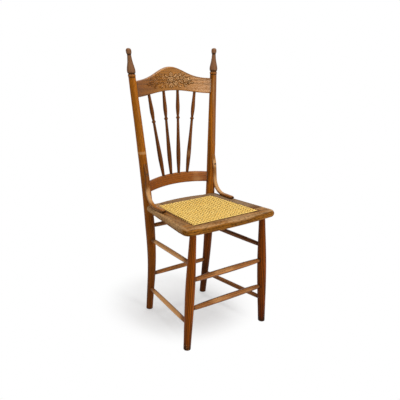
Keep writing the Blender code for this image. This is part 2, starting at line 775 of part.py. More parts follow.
def brace_line():
    """Centre line of a brace from its tip on the post to its end on the seat, as (y, z) points."""
    seated = post_front(BRACE_TOP - BRACE_TAPER) - BRACE_THICKNESS / 2 + BRACE_LET_IN
    tip = post_front(BRACE_TOP) + BRACE_TIP_THICKNESS / 2
    corner = post_front(BRACE_FOOT_MIDDLE) - BRACE_THICKNESS / 2 + BRACE_LET_IN
    corners = [((tip, BRACE_TOP), 0.0), ((seated, BRACE_TOP - BRACE_TAPER), 0.0),
               ((corner, BRACE_FOOT_MIDDLE), BRACE_BEND_RADIUS),
               ((BRACE_END_Y + BRACE_NOSE, BRACE_FOOT_MIDDLE), 0.0),
               ((BRACE_END_Y, BRACE_FOOT_MIDDLE - BRACE_NOSE_DROP / 2), 0.0)]
    return rounded(corners, BRACE_ARC_STEPS)


def brace(name, side, grow=0.0, finish=None):
    """Bent strip that leaves the front of a post and lies down on the side rail."""
    line = brace_line()
    sections = []
    for index, point in enumerate(line):
        before = line[max(index - 1, 0)]
        after = line[min(index + 1, len(line) - 1)]
        along = (after - before).normalized()
        thickness = BRACE_THICKNESS
        if index == 0:
            point = point - along * grow
            thickness = BRACE_TIP_THICKNESS
        if index == len(line) - 1:
            point = point + along * grow
            thickness = BRACE_THICKNESS - BRACE_NOSE_DROP
        outline = section(BRACE_WIDTH / 2 + grow, thickness / 2 + grow, BRACE_ROUNDING / 2 + grow)
        sections.append([(side * BRACE_X + across, point.x - along.y * rise, point.y + along.x * rise)
                         for across, rise in outline])
    return loft(name, sections, finish)


# Dowels and screws

def dowel(name, middle, along, carriers):
    """Straight dowel across a joint, with its holes on both sides."""
    start = middle - along * DOWEL_HALF_LENGTH
    end = middle + along * DOWEL_HALF_LENGTH
    length = 2 * DOWEL_HALF_LENGTH
    chamfer = DOWEL_RADIUS / 4
    profile = [(DOWEL_RADIUS - chamfer, length), (DOWEL_RADIUS, length - chamfer),
               (DOWEL_RADIUS, chamfer), (DOWEL_RADIUS - chamfer, 0.0)]
    aim(turned(name, profile, HOLE_SIDES, DOWEL_BIRCH), start, end)
    hole = bore(name + "_hole", start - along * GAP, end + along * GAP, DOWEL_RADIUS + GAP)
    for carrier in carriers:
        cut(carrier, hole)


def screw(name, head, along, length, carriers):
    """Slotted wood screw driven along a direction from the middle of its head."""
    tip = head + along * length
    under_head = length - SCREW_HEAD_DEPTH
    profile = [(SCREW_HEAD_RADIUS, length), (SCREW_SHANK_RADIUS, under_head),
               (SCREW_SHANK_RADIUS, SCREW_TIP), (SCREW_SHANK_RADIUS / 3, 0.0)]
    item = aim(turned(name, profile, SCREW_SIDES, SCREW_STEEL), tip, head)
    slot = bmesh.new()
    bmesh.ops.create_cube(slot, size=1.0)
    bmesh.ops.scale(slot, verts=slot.verts,
                    vec=(3 * SCREW_HEAD_RADIUS, SCREW_SLOT_WIDTH, 2 * SCREW_SLOT_DEPTH))
    bmesh.ops.translate(slot, verts=slot.verts, vec=(0.0, 0.0, length))
    cut(item, aim(place(name + "_slot", as_data(name + "_slot", slot)), tip, head))
    wide = SCREW_HEAD_RADIUS + GAP
    narrow = SCREW_SHANK_RADIUS + GAP
    hole = [(wide, length + BEYOND), (wide, length), (narrow, under_head), (narrow, -GAP)]
    hole = aim(turned(name + "_hole", hole, SCREW_SIDES), tip, head)
    for carrier in carriers:
        cut(carrier, hole)


# The chair

posts = {side: rear_post(f"{name}_rear_post", side, 0.0, POST_OAK) for name, side in SIDES}
legs = {side: front_leg(f"{name}_front_leg", side) for name, side in SIDES}
floor = floor_block()
for upright in (*posts.values(), *legs.values()):
    cut(upright, floor)

for level, height in (("upper", FRONT_UPPER_HEIGHT), ("lower", FRONT_LOWER_HEIGHT)):
    rung(f"front_{level}_rung", (leg_end(height, -1), leg_end(height, 1)), FRONT_RUNG_RADIUS, legs.values())
for level, height in (("upper", REAR_UPPER_HEIGHT), ("lower", REAR_LOWER_HEIGHT)):
    rung(f"rear_{level}_rung", (post_end(height, -1), post_end(height, 1)), REAR_RUNG_RADIUS, posts.values())
SIDE_LEVELS = (("upper", SIDE_UPPER_FRONT_HEIGHT, SIDE_UPPER_REAR_HEIGHT),
               ("lower", SIDE_LOWER_FRONT_HEIGHT, SIDE_LOWER_REAR_HEIGHT))
for name, side in SIDES:
    for level, near, far in SIDE_LEVELS:
        rung(f"{name}_{level}_rung", (leg_end(near, side), post_end(far, side)), SIDE_RUNG_RADIUS,
             (legs[side], posts[side]))

CREST_SHAPE = (crest_edges, CREST_THICKNESS, CREST_BOW, CREST_ROUNDING, CREST_TENON, CREST_STATIONS)
LOWER_RAIL_SHAPE = (lower_rail_edges, LOWER_RAIL_THICKNESS, LOWER_RAIL_BOW, LOWER_RAIL_ROUNDING,
                    LOWER_RAIL_TENON, LOWER_RAIL_STATIONS)
crest = board("crest_rail", *CREST_SHAPE, 0.0, CREST_OAK)
lower_rail = board("lower_back_rail", *LOWER_RAIL_SHAPE, 0.0, RAIL_OAK)
mortises = (board("crest_mortises", *CREST_SHAPE, GAP), board("lower_rail_mortises", *LOWER_RAIL_SHAPE, GAP))
for post in posts.values():
    cut(post, *mortises)
for number in range(len(SPINDLE_TOP_PLACES)):
    spindle(number, (crest, lower_rail))

front_rail = seat_rail("seat_front_rail", front_region())
rear_rail = seat_rail("seat_rear_rail", rear_region())
side_rails = {side: seat_rail(f"seat_{name}_rail", side_region(side)) for name, side in SIDES}
slab("seat_cane", cane_outlines(), SEAT_HEIGHT + GAP + CANE_THICKNESS / 2, CANE_THICKNESS, 0.0, CANE)

FORWARD = Vector((0.0, -1.0, 0.0))
UPWARD = Vector((0.0, 0.0, 1.0))
OUTWARD = Vector((1.0, 0.0, 0.0))

for name, side in SIDES:
    rail = side_rails[side]
    post = posts[side]
    cut(front_rail, leg_socket(f"{name}_leg_socket", side))
    cut(rail, rear_post(f"{name}_post_cope", side, GAP))
    inner = opening_edge(FRONT_JOINT_Y)
    outer = seat_edge(FRONT_JOINT_Y)
    for number, share in enumerate(DOWEL_SHARES, 1):
        across = side * (inner + share * (outer - inner))
        middle = Vector((across, FRONT_JOINT_Y, SEAT_MIDDLE))
        dowel(f"{name}_front_dowel_{number}", middle, FORWARD, (front_rail, rail))
        depth = OPENING_BACK_Y + share * BACK_RAIL_DEPTH
        middle = Vector((side * opening_edge(depth), depth, SEAT_MIDDLE))
        dowel(f"{name}_rear_dowel_{number}", middle, OUTWARD, (rear_rail, rail))

    strip = brace(f"{name}_hip_brace", side, 0.0, BRACE_OAK)
    cut(post, brace(f"{name}_brace_recess", side, GAP))
    height = BRACE_TOP - BRACE_SCREW_DROP
    face = post_front(height) + BRACE_LET_IN - BRACE_THICKNESS
    head = Vector((side * BRACE_X, face + SCREW_SUNK, height))
    screw(f"{name}_brace_screw", head, -FORWARD, BRACE_SCREW_LENGTH, (strip, post))
    head = Vector((side * BRACE_X, BRACE_END_Y + FOOT_SCREW_INSET, SEAT_UNDERSIDE + SCREW_SUNK))
    screw(f"{name}_foot_screw", head, UPWARD, FOOT_SCREW_LENGTH, (rail, strip))
    head = post_axis(SEAT_MIDDLE, side)
    head.y += post_radius(SEAT_MIDDLE) - POST_SCREW_SUNK
    screw(f"{name}_post_screw", head, FORWARD, POST_SCREW_LENGTH, (post, rail))
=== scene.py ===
# Looks of the pressed-back side chair: oiled oak, a pressed crest, woven cane, studio floor and light.
from functools import partial, reduce
from math import cos, pi, sin, tan, tau

import bpy
import numpy as np
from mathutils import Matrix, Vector
from numpy.linalg import norm


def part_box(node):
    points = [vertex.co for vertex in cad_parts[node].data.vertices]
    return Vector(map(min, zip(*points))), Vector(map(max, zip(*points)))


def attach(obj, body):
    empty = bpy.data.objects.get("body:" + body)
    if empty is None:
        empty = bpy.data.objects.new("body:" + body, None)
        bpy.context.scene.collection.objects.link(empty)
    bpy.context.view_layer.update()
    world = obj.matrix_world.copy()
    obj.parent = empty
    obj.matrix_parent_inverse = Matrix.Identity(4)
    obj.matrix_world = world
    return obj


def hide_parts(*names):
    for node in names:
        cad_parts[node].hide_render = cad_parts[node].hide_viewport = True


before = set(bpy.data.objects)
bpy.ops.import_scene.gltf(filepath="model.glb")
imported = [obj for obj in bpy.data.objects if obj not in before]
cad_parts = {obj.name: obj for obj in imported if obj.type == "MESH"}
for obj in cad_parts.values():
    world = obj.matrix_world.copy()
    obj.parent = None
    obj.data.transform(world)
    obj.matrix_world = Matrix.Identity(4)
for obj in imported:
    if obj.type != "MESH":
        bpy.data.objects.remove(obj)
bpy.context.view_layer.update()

# Sizes that the solids are built from, in metres, with the chair facing -Y and its feet on Z = 0
TOTAL_HEIGHT = 1.024
SEAT_HEIGHT = 0.455
GAP = 0.0003
POST_HEIGHTS = (0.0, 0.23, SEAT_HEIGHT, 0.6, TOTAL_HEIGHT)
POST_SPREAD = (0.1379, 0.1392, 0.151, 0.1606, 0.1935)
POST_SETBACK = (0.172, 0.1503, 0.1571, 0.1701, 0.2131)
POST_RING = 0.653
FINIAL_FOOT = 0.9245
BULB_FOOT = 0.9357
BALL_FOOT = 1.0022
SHAFT = ((0.0, 0.0132), (0.36, 0.0185), (SEAT_HEIGHT, 0.0179), (POST_RING - 0.012, 0.0158), (POST_RING, 0.0164),
         (POST_RING + 0.012, 0.0158), (0.9125, 0.0133), (FINIAL_FOOT, 0.013))
FINIAL = ((0.923, 0.013), (FINIAL_FOOT, 0.0117), (0.9262, 0.0134), (0.9301, 0.0139), (0.934, 0.0133),
          (BULB_FOOT, 0.0116), (0.9377, 0.0136), (0.941, 0.0148), (0.945, 0.0153), (0.9497, 0.0151),
          (0.9543, 0.0145), (0.9636, 0.0126), (0.9743, 0.0102), (0.9876, 0.0084), (1.0008, 0.0074),
          (BALL_FOOT, 0.0074), (1.0042, 0.0086), (1.0066, 0.0093), (1.012, 0.01), (1.0179, 0.0095),
          (1.0205, 0.0083), (1.0225, 0.0062), (1.0235, 0.0036), (TOTAL_HEIGHT, 0.0008))
LEG_TOP = (0.1575, -0.1407)
LEG_SPLAY = (0.0228, 0.0085)
LEG_RADII = ((0.0, 0.0131), (0.235, 0.0171), (0.418, 0.0118))
LEG_TENON_RADIUS = 0.0098
SEAT_THICKNESS = 0.022
SEAT_UNDERSIDE = SEAT_HEIGHT - SEAT_THICKNESS
SEAT_FRONT_Y = -0.179
SEAT_FRONT_HALF = 0.2065
SEAT_FRONT_BOW = 0.012
SEAT_BACK_BOW = 0.012
SEAT_CORNER_Y = SEAT_FRONT_Y + SEAT_FRONT_BOW
SEAT_BACK_Y = 0.1511
SEAT_BACK_HALF = 0.1645
CORNER_RADIUS = 0.024
EAR_RADIUS = 0.014
OPENING_FRONT_Y = -0.122
OPENING_BACK_Y = 0.1001
OPENING_FRONT_HALF = 0.135
OPENING_BACK_HALF = 0.112
OPENING_CORNER_RADIUS = 0.006
FRONT_JOINT_Y = -0.106
CREST_FOOT = TOTAL_HEIGHT - 0.172
CREST_ARCH = 0.0162
CREST_END = TOTAL_HEIGHT - 0.1145
CREST_HUMP = TOTAL_HEIGHT - 0.0677
CREST_HUMP_SHARE = 0.468
CREST_THICKNESS = 0.017
CREST_BOW = 0.0345
CREST_TENON = 0.008
LOWER_RAIL_FOOT = SEAT_HEIGHT + 0.044
LOWER_RAIL_HEIGHT = 0.039
LOWER_RAIL_ARCHES = (0.0075, 0.0105)
LOWER_RAIL_TILT = 0.0016
LOWER_RAIL_THICKNESS = 0.015
LOWER_RAIL_BOW = 0.0315
LOWER_RAIL_TENON = 0.009
BOARD_ROUNDING = 0.005
SPINDLE_TOP_PLACES = (-0.1055, -0.0325, 0.0325, 0.1055)
SPINDLE_FOOT_PLACES = (-0.0572, -0.0184, 0.0184, 0.0572)
SPINDLE_TENON = 0.012
SPINDLE_BEAD = 0.325
SPINDLE_SWELL = 0.77
SPINDLE_OUTLINE = ((0.0, 0.0055), (0.02, 0.0056), (0.1, 0.0065), (0.2, 0.0077), (0.27, 0.0064),
                   (0.304, 0.0051), (0.31, 0.0051), (0.316, 0.007), (SPINDLE_BEAD, 0.0075), (0.334, 0.007),
                   (0.34, 0.0051), (0.346, 0.0051), (0.43, 0.0056), (0.53, 0.0063), (0.63, 0.0074), (0.7, 0.0081),
                   (SPINDLE_SWELL, 0.0085), (0.84, 0.0081), (0.9, 0.0073), (0.95, 0.0064), (1.0, 0.0055))
RUNG_TENON = 0.01
RUNG_TENON_RADIUS = 0.0076
RUNG_COLLAR = 0.006
BRACE_TOP = 0.613
BRACE_X = 0.1612
BRACE_END_Y = 0.0301
BRACE_WIDTH = 0.0168
BRACE_THICKNESS = 0.0115
BRACE_TIP_THICKNESS = 0.004
BRACE_TAPER = 0.036
BRACE_NOSE = 0.006
BRACE_NOSE_DROP = 0.003
BRACE_BEND_RADIUS = 0.06
BRACE_LET_IN = 0.003
BRACE_SCREW_HEIGHT = BRACE_TOP - 0.038

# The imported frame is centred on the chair's box, so every piece moves by this much
SHIFT = np.array((0.0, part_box("seat_front_rail")[0].y - SEAT_FRONT_Y, 0.0))
SIDES = (("left", -1), ("right", 1))
SHARP_ANGLE = pi / 4


# Curves and places

def curve(knots, at):
    """Smooth curve through (position, value) knots, level with its end slopes."""
    xs, ys = np.array(knots, float).T
    at = np.clip(np.asarray(at, float), xs[0], xs[-1])
    slopes = np.diff(ys) / np.diff(xs)
    tangents = np.concatenate((slopes[:1], (slopes[1:] + slopes[:-1]) / 2, slopes[-1:]))
    index = np.clip(np.searchsorted(xs, at, side="right") - 1, 0, len(xs) - 2)
    span = xs[index + 1] - xs[index]
    t = (at - xs[index]) / span
    rise = ys[index + 1] - ys[index]
    m0 = tangents[index]
    m1 = tangents[index + 1]
    return (ys[index] + span * m0 * t + (3 * rise - span * (2 * m0 + m1)) * t ** 2
            + (span * (m0 + m1) - 2 * rise) * t ** 3)


def straight(knots, at):
    """Straight runs between (position, value) knots."""
    return np.interp(at, *np.array(knots, float).T)


def sloped(first, second, at):
    """Straight line through two (position, value) points, also beyond them."""
    t = (at - first[0]) / (second[0] - first[0])
    return first[1] + t * (second[1] - first[1])


def softened(values, reach):
    """Running mean that keeps the length of a row of values."""
    window = np.ones(2 * reach + 1) / (2 * reach + 1)
    return np.convolve(np.pad(values, reach, mode="edge"), window, "valid")


def stacked(*columns):
    """Points from rows of numbers, some of which may be single numbers."""
    return np.stack(np.broadcast_arrays(*columns), axis=-1).astype(float)


def ease(low, high, value):
    """0 up to low, 1 from high on, with an eased rise between."""
    t = np.clip((value - low) / (high - low), 0.0, 1.0)
    return t * t * (3 - 2 * t)


def hill(gap, width):
    """1 where there is no gap, falling smoothly to 0 within a few widths."""
    return np.exp(-(gap / width) ** 2)


def most(*values):
    """Largest of several values at each point."""
    return reduce(np.maximum, values)


def unit(vector):
    """Direction of a vector."""
    return vector / norm(vector)


def lengths_along(points):
    """Length from the start of a line to each of its points."""
    return np.concatenate(([0.0], np.cumsum(norm(np.diff(points, axis=0), axis=1))))


def ripple(seed, at, period, size):
    """Smooth seeded waviness along a row of positions."""
    draw = np.random.default_rng(seed)
    total = 0.0
    for octave in (1, 2, 3):
        total = total + draw.normal() * np.sin(tau * octave * at / period + draw.uniform(0, tau)) / octave
    return size * total


def post_axis(height, side=1):
    """Points on a rear post's bent axis."""
    spread, setback = (curve(tuple(zip(POST_HEIGHTS, row)), height) for row in (POST_SPREAD, POST_SETBACK))
    return stacked(side * spread, setback, height)


# Radius of a post's shaft and of a front leg at a height, half-width of the seat and its opening at a depth
post_radius = partial(straight, SHAFT)
leg_radius = partial(curve, LEG_RADII)
seat_edge = partial(sloped, (SEAT_CORNER_Y, SEAT_FRONT_HALF), (SEAT_BACK_Y, SEAT_BACK_HALF))
opening_edge = partial(sloped, (OPENING_FRONT_Y, OPENING_FRONT_HALF), (OPENING_BACK_Y, OPENING_BACK_HALF))


def post_front(height):
    """Depth of the front of a post."""
    return float(post_axis(height)[1] - post_radius(height))


def leg_axis(height, side=1):
    """Points on a front leg's straight axis."""
    drop = (SEAT_UNDERSIDE - np.asarray(height, float)) / SEAT_UNDERSIDE
    return stacked(side * (LEG_TOP[0] + drop * LEG_SPLAY[0]), LEG_TOP[1] - drop * LEG_SPLAY[1], height)


def back_point(share, height, bow):
    """Points of the bowed back between the posts; share is -1 at the left post, 1 at the right."""
    axis = post_axis(height)
    return stacked(share * axis[..., 0], axis[..., 1] + bow * (1 - share ** 2), height)


def crest_edges(share):
    """Lower and upper edge of the crest rail."""
    foot = CREST_FOOT + CREST_ARCH * (1 + np.cos(pi * share)) / 2
    return foot, CREST_END + (CREST_HUMP - CREST_END) * hill(share, CREST_HUMP_SHARE)


def lower_rail_edges(share):
    """Lower and upper edge of the lower back rail, which sits a touch lower on the left."""
    foot = LOWER_RAIL_FOOT + LOWER_RAIL_TILT * share
    arch = 1 - share ** 2
    return foot + LOWER_RAIL_ARCHES[0] * arch, foot + LOWER_RAIL_HEIGHT + LOWER_RAIL_ARCHES[1] * arch


def spindle_end(offset, edges, which, bow):
    """Point where a spindle's axis meets an edge of a board."""
    share = 0.0
    for _ in range(4):
        height = edges(share)[which]
        share = offset / post_axis(height)[0]
    return back_point(share, height, bow)


# Material nodes

class Graph:
    """Node tree of a material or a world, with short calls for the nodes used here."""

    def __init__(self, owner):
        owner.use_nodes = True
        self.owner = owner
        self.tree = owner.node_tree
        self.shader = self.tree.nodes.get("Principled BSDF") or self.tree.nodes["Background"]

    def put(self, value, socket):
        if isinstance(value, bpy.types.NodeSocket):
            self.tree.links.new(value, socket)
        elif socket.type == "RGBA":
            socket.default_value = (*value, 1.0)
        else:
            socket.default_value = value

    def add(self, kind, inputs=None, output=0, **settings):
        made = self.tree.nodes.new(kind)
        for key, value in settings.items():
            setattr(made, key, value)
        for key, value in (inputs or {}).items():
            self.put(value, made.inputs[key])
        return made.outputs[output]

    def dress(self, inputs):
        for key, value in inputs.items():
            self.put(value, self.shader.inputs[key])
        return self.owner

    def attribute(self, name, output="Fac"):
        return self.add("ShaderNodeAttribute", output=output, attribute_name=name)

    def math(self, operation, *values):
        return self.add("ShaderNodeMath", dict(enumerate(values)), operation=operation)

    def weighted(self, start, *terms):
        """Start plus the sum of (value, factor) terms."""
        for value, factor in terms:
            start = self.math("MULTIPLY_ADD", value, factor, start)
        return start

    def vector(self, operation, first, second=(0.0, 0.0, 0.0), output=0):
        return self.add("ShaderNodeVectorMath", {0: first, 1: second}, output, operation=operation)

    def noise(self, place, stretch, detail=2.0, roughness=0.55):
        inputs = {"Vector": self.vector("MULTIPLY", place, stretch), "Scale": 1.0, "Detail": detail,
                  "Roughness": roughness}
        return self.add("ShaderNodeTexNoise", inputs, "Fac")

    def rise(self, value, low, high, start=0.0, end=1.0):
        limits = {"From Min": low, "From Max": high, "To Min": start, "To Max": end}
        return self.add("ShaderNodeMapRange", {"Value": value, **limits}, "Result", interpolation_type="SMOOTHSTEP")

    def mix(self, share, first, second, blend="MIX"):
        return self.add("ShaderNodeMix", {0: share, 6: first, 7: second}, 2, data_type="RGBA", blend_type=blend)

    def layered(self, colour, *layers):
        """Colour under layers of (share, colour), some with a blend of their own."""
        for share, layer, *blend in layers:
            colour = self.mix(share, colour, layer, *blend)
        return colour

    def bump(self, height, strength, distance):
        return self.add("ShaderNodeBump", {"Height": height, "Strength": strength, "Distance": distance}, "Normal")

    def seen(self):
        """1 for rays from the camera and for rays that surfaces mirror or let through."""
        rays = [self.add("ShaderNodeLightPath", output=ray)
                for ray in ("Is Camera Ray", "Is Glossy Ray", "Is Transmission Ray")]
        return reduce(lambda first, second: self.math("MAXIMUM", first, second), rays)


GRIME_AND_SHADE = (0.02, 0.007, 0.002)
BARE_AND_HIGHLIGHT = (0.5, 0.25, 0.09)
SHADED = (0.4, 0.27, 0.18)
FADED = (0.195, 0.098, 0.053)
LIGHT_TONE = 1.4
DARK_TONE = 0.45
AMBER = (1.0, 0.8, 0.52)
PALE = (1.0, 0.86, 0.66)
# Noise along and across the grain of the oak, as repeats per metre
WARP = (3.0, 22.0, 22.0)
STREAKS = (2.6, 95.0, 95.0)
FIBRES = (14.0, 620.0, 620.0)
PORES = (85.0, 1700.0, 1700.0)
PATCHES = (7.0, 18.0, 18.0)
SPECKS = (110.0, 190.0, 190.0)


def new_graph(slot):
    """Graph of a new material for a slot."""
    return Graph(bpy.data.materials.new(slot + "_finish"))


def oak(slot, middle, bare_and_highlight=BARE_AND_HIGHLIGHT, roughness=0.42, gloss=0.25, stained=0.45, rings=0.0055, tint=AMBER, mottle=0.0,
        contrast=1.0, faded=FADED):
    """Oiled oak: growth rings, fibres and pores along the piece, with darkened and grimy places, some of them
    painted shade, and rubbed pale places, some of them painted highlights.
    """
    graph = new_graph(slot)
    light, dark = (tuple((1 + contrast * (tone - 1)) * channel for channel in middle)
                   for tone in (LIGHT_TONE, DARK_TONE))
    place = graph.attribute("wood", "Vector")
    reach = graph.vector("LENGTH", graph.vector("MULTIPLY", place, (0.0, 1.0, 1.0)), output="Value")
    reach = graph.weighted(reach, (graph.noise(place, WARP), 0.012))
    ring = graph.math("FRACT", graph.math("DIVIDE", reach, rings))
    early = graph.math("MULTIPLY", graph.rise(ring, 0.0, 0.12), graph.rise(ring, 0.35, 0.95, 1.0, 0.0))
    streak = graph.noise(place, STREAKS, 3.0)
    fibre = graph.noise(place, FIBRES, 3.0, 0.65)
    patch = graph.noise(place, PATCHES, 3.0)
    specks = graph.noise(place, SPECKS, 3.0, 0.65)
    pores = graph.rise(graph.noise(place, PORES, 1.0), 0.54, 0.68)
    pores = graph.math("MULTIPLY", pores, graph.math("ADD", 0.25, early))

    tone = graph.weighted(0.0, (early, 0.34), (streak, 0.75), (fibre, 0.45))
    # Wear and painted highlights both lighten the colour towards the colour of bare oak.
    wear = graph.attribute("wear")
    worn_and_highlit = graph.weighted(wear, (graph.math("SUBTRACT", patch, 0.5), 1.1))
    worn_and_highlit = graph.math("MULTIPLY", graph.rise(worn_and_highlit, 0.3, 0.75, 0.0, 0.75), graph.rise(wear, 0.0, 0.12))
    # Grime and painted shade both darken the colour here.
    dirt_and_shade = graph.math("MULTIPLY", graph.attribute("grime"), graph.rise(fibre, 0.2, 0.5, 0.75, 1.0))
    colour = graph.layered(
        light, (graph.rise(tone, 0.42, 0.78), middle), (graph.rise(tone, 0.72, 1.12), dark),
        (graph.rise(patch, 0.42, 0.72, 0.0, stained), dark), (graph.math("MULTIPLY", pores, 0.55), GRIME_AND_SHADE),
        (graph.attribute("shade"), SHADED, "MULTIPLY"), (graph.attribute("fade"), faded), (worn_and_highlit, bare_and_highlight),
        (graph.rise(specks, 0.46, 0.66, 0.0, mottle), GRIME_AND_SHADE), (dirt_and_shade, GRIME_AND_SHADE))

    rough = graph.weighted(roughness, (pores, 0.18), (graph.math("SUBTRACT", streak, 0.5), 0.2), (worn_and_highlit, 0.15))
    height = graph.math("SUBTRACT", graph.math("MULTIPLY", fibre, 0.35), pores)
    return graph.dress({"Base Color": colour, "Roughness": rough, "Specular IOR Level": gloss,
                        "Specular Tint": tint, "Normal": graph.bump(height, 0.3, 0.0004)})


def cane_finish(slot):
    """Split rattan: pale golden skin with fine fibres, brown nodes and a tone of its own on each strand."""
    graph = new_graph(slot)
    place = graph.attribute("wood", "Vector")
    fibre = graph.noise(place, (60.0, 2600.0, 2600.0))
    blotch = graph.noise(place, (28.0, 28.0, 28.0))
    tone = graph.weighted(0.0, (graph.attribute("shade"), 0.6), (fibre, 0.5))
    # The last, dark layer is painted shade on the strands' sides and where they pass under, with dirt at their
    # ends.
    colour = graph.layered(
        (1.0, 0.7, 0.2), (graph.rise(tone, 0.2, 0.9), (0.95, 0.6, 0.13)),
        (graph.rise(blotch, 0.52, 0.75, 0.0, 0.3), (0.8, 0.46, 0.09)),
        (graph.attribute("grime"), (0.1, 0.035, 0.005)))
    return graph.dress({"Base Color": colour, "Roughness": graph.rise(fibre, 0.2, 0.8, 0.38, 0.58),
                        "Specular IOR Level": 0.17, "Normal": graph.bump(fibre, 0.25, 0.0002)})


def steel_finish(slot):
    """Old steel screw, browned, with fine scratches and rust in patches."""
    graph = new_graph(slot)
    place = graph.add("ShaderNodeTexCoord", output="Object")
    scratch = graph.noise(place, (900.0, 900.0, 900.0), 3.0)
    rust = graph.rise(graph.noise(place, (420.0, 420.0, 420.0)), 0.45, 0.62)
    colour = graph.layered((0.09, 0.07, 0.055), (scratch, (0.2, 0.16, 0.12)), (rust, (0.1, 0.038, 0.014)))
    return graph.dress({"Base Color": colour, "Roughness": graph.rise(rust, 0.0, 1.0, 0.42, 0.75),
                        "Metallic": graph.rise(rust, 0.0, 1.0, 0.9, 0.2),
                        "Normal": graph.bump(scratch, 0.2, 0.0001)})


def dowel_finish(slot):
    """Plain birch dowel with faint grain."""
    graph = new_graph(slot)
    figure = graph.noise(graph.add("ShaderNodeTexCoord", output="Object"), (260.0, 260.0, 260.0), 3.0)
    return graph.dress({"Base Color": graph.mix(figure, (0.62, 0.45, 0.26), (0.48, 0.31, 0.16)), "Roughness": 0.6,
                        "Normal": graph.bump(figure, 0.2, 0.0002)})


OAKS = {
    "post_oak": dict(middle=(0.4, 0.125, 0.007), gloss=0.1),
    "leg_oak": dict(middle=(0.27, 0.063, 0.001), gloss=0.09),
    "crest_oak": dict(middle=(0.36, 0.129, 0.008), bare_and_highlight=(0.74, 0.44, 0.2), roughness=0.36, gloss=0.5,
                      rings=0.0085, tint=PALE, contrast=0.55),
    "rail_oak": dict(middle=(0.33, 0.089, 0.002), roughness=0.34, gloss=0.26, stained=0.3, rings=0.0085,
                     tint=PALE, contrast=0.45),
    "spindle_oak": dict(middle=(0.163, 0.046, 0.006), gloss=0.14),
    "rung_oak": dict(middle=(0.365, 0.134, 0.032), bare_and_highlight=(0.88, 0.45, 0.17), roughness=0.38, gloss=0.18, tint=PALE),
    "seat_oak": dict(middle=(0.27, 0.1, 0.01), bare_and_highlight=(0.53, 0.31, 0.14), roughness=0.55, gloss=0.06,
                     stained=0.75, rings=0.007, mottle=0.6, faded=(0.29, 0.2, 0.115)),
    "brace_oak": dict(middle=(0.375, 0.13, 0.016), bare_and_highlight=(0.62, 0.35, 0.15), roughness=0.32, gloss=0.16),
}
FINISHES = {slot: oak(slot, **settings) for slot, settings in OAKS.items()}
for other, finish in (("cane", cane_finish), ("dowel_birch", dowel_finish), ("screw_steel", steel_finish)):
    FINISHES[other] = finish(other)


# Mesh pieces

def link(name, data):
    """New object in the scene."""
    made = bpy.data.objects.new(name, data)
    bpy.context.scene.collection.objects.link(made)
    return made


def piece(node, slot, points, faces, wood, label="finished", **looks):
    """Mesh object in place of a CAD node, with its looks stored on its points."""
    name = f"{node}_{label}"
    mesh = bpy.data.meshes.new(name)
    mesh.from_pydata((points + SHIFT).tolist(), [], faces)
    mesh.update()
    mesh.shade_smooth()
    mesh.set_sharp_from_angle(angle=SHARP_ANGLE)
    stored = mesh.attributes.new("wood", "FLOAT_VECTOR", "POINT")
    stored.data.foreach_set("vector", wood.astype(np.float32).ravel())
    for key in ("shade", "wear", "grime", "fade"):
        values = np.broadcast_to(looks.get(key, 0.0), len(points)).astype(np.float32)
        mesh.attributes.new(key, "FLOAT", "POINT").data.foreach_set("value", values)
    mesh.materials.append(FINISHES[slot])
    made = link(name, mesh)
    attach(made, "root")
    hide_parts(node)


def skin(rings):
    """Points and faces, turned outwards, of a closed body through rings."""
    rows, sides, _ = rings.shape
    index = np.arange(rows * sides).reshape(rows, sides)
    near = index[:-1]
    far = index[1:]
    quads = np.stack((near, np.roll(near, -1, 1), np.roll(far, -1, 1), far), -1).reshape(-1, 4)
    caps = np.stack((index[0][::-1], index[-1]))
    points = rings.reshape(-1, 3)
    fans = [points[faces] for faces in (quads, caps)]
    volume = sum((fan[:, :1] * np.cross(fan[:, 1:-1], fan[:, 2:])).sum() for fan in fans)
    step = 1 if volume > 0 else -1
    return points, quads[:, ::step].tolist() + caps[:, ::step].tolist()


def body(node, slot, rings, wood, **looks):
    """Closed piece through rings; a look is one number, or has one for each ring or point."""
    looks = {key: np.broadcast_to(values, rings.shape[:2]).ravel() for key, values in looks.items()}
    piece(node, slot, *skin(rings), wood, **looks)


def grain(seed, along, across, depth, tilt=0.03):
    """Wood coordinates of a piece cut from its own place in its own tree."""
    draw = np.random.default_rng(seed)
    angle = draw.uniform(0, tau)
    reach = draw.uniform(0.035, 0.075)
    lean = draw.uniform(-tilt, tilt, 2)
    return stacked(along + draw.uniform(0, 40), across + reach * cos(angle) + lean[0] * along,
                   depth + reach * sin(angle) + lean[1] * along).reshape(-1, 3)


JOINT_GRIME = 0.0028
UNEVENNESS = 0.00012
BAR_PERIOD = 0.31
UPRIGHT_PERIOD = 0.37
UPRIGHT_SIDES = 36
FOOT_ROUNDING = ((0.0, 0.0016), (0.0004, 0.0008), (0.0012, 0.0002), (0.0025, 0.0))
FOOT_HEIGHTS = np.linspace(0.0, 0.003, 6)
SHAFT_START = 0.006


def dirt_round(points, spots):
    """Grime that has gathered where other pieces enter, as (centre, radius) spots."""
    gaps = (norm(points - centre, axis=-1) - radius for centre, radius in spots)
    return most(*(hill(np.maximum(gap, 0.0), JOINT_GRIME) for gap in gaps))


def turned(seed, centres, radii, sides, axes, along, period, unevenness=UNEVENNESS):
    """Rings of a turned piece, the wood coordinates of its points and the angles round it."""
    angles = np.linspace(0, tau, sides, endpoint=False)
    across = np.cos(angles)
    depth = np.sin(angles)
    reach = radii[:, None] + ripple(seed, along, period, unevenness)[:, None] * np.cos(angles + seed)
    rings = centres[:, None] + reach[..., None] * (across[:, None] * axes[0] + depth[:, None] * axes[1])
    return rings, grain(seed, along[:, None], reach * across, reach * depth), angles


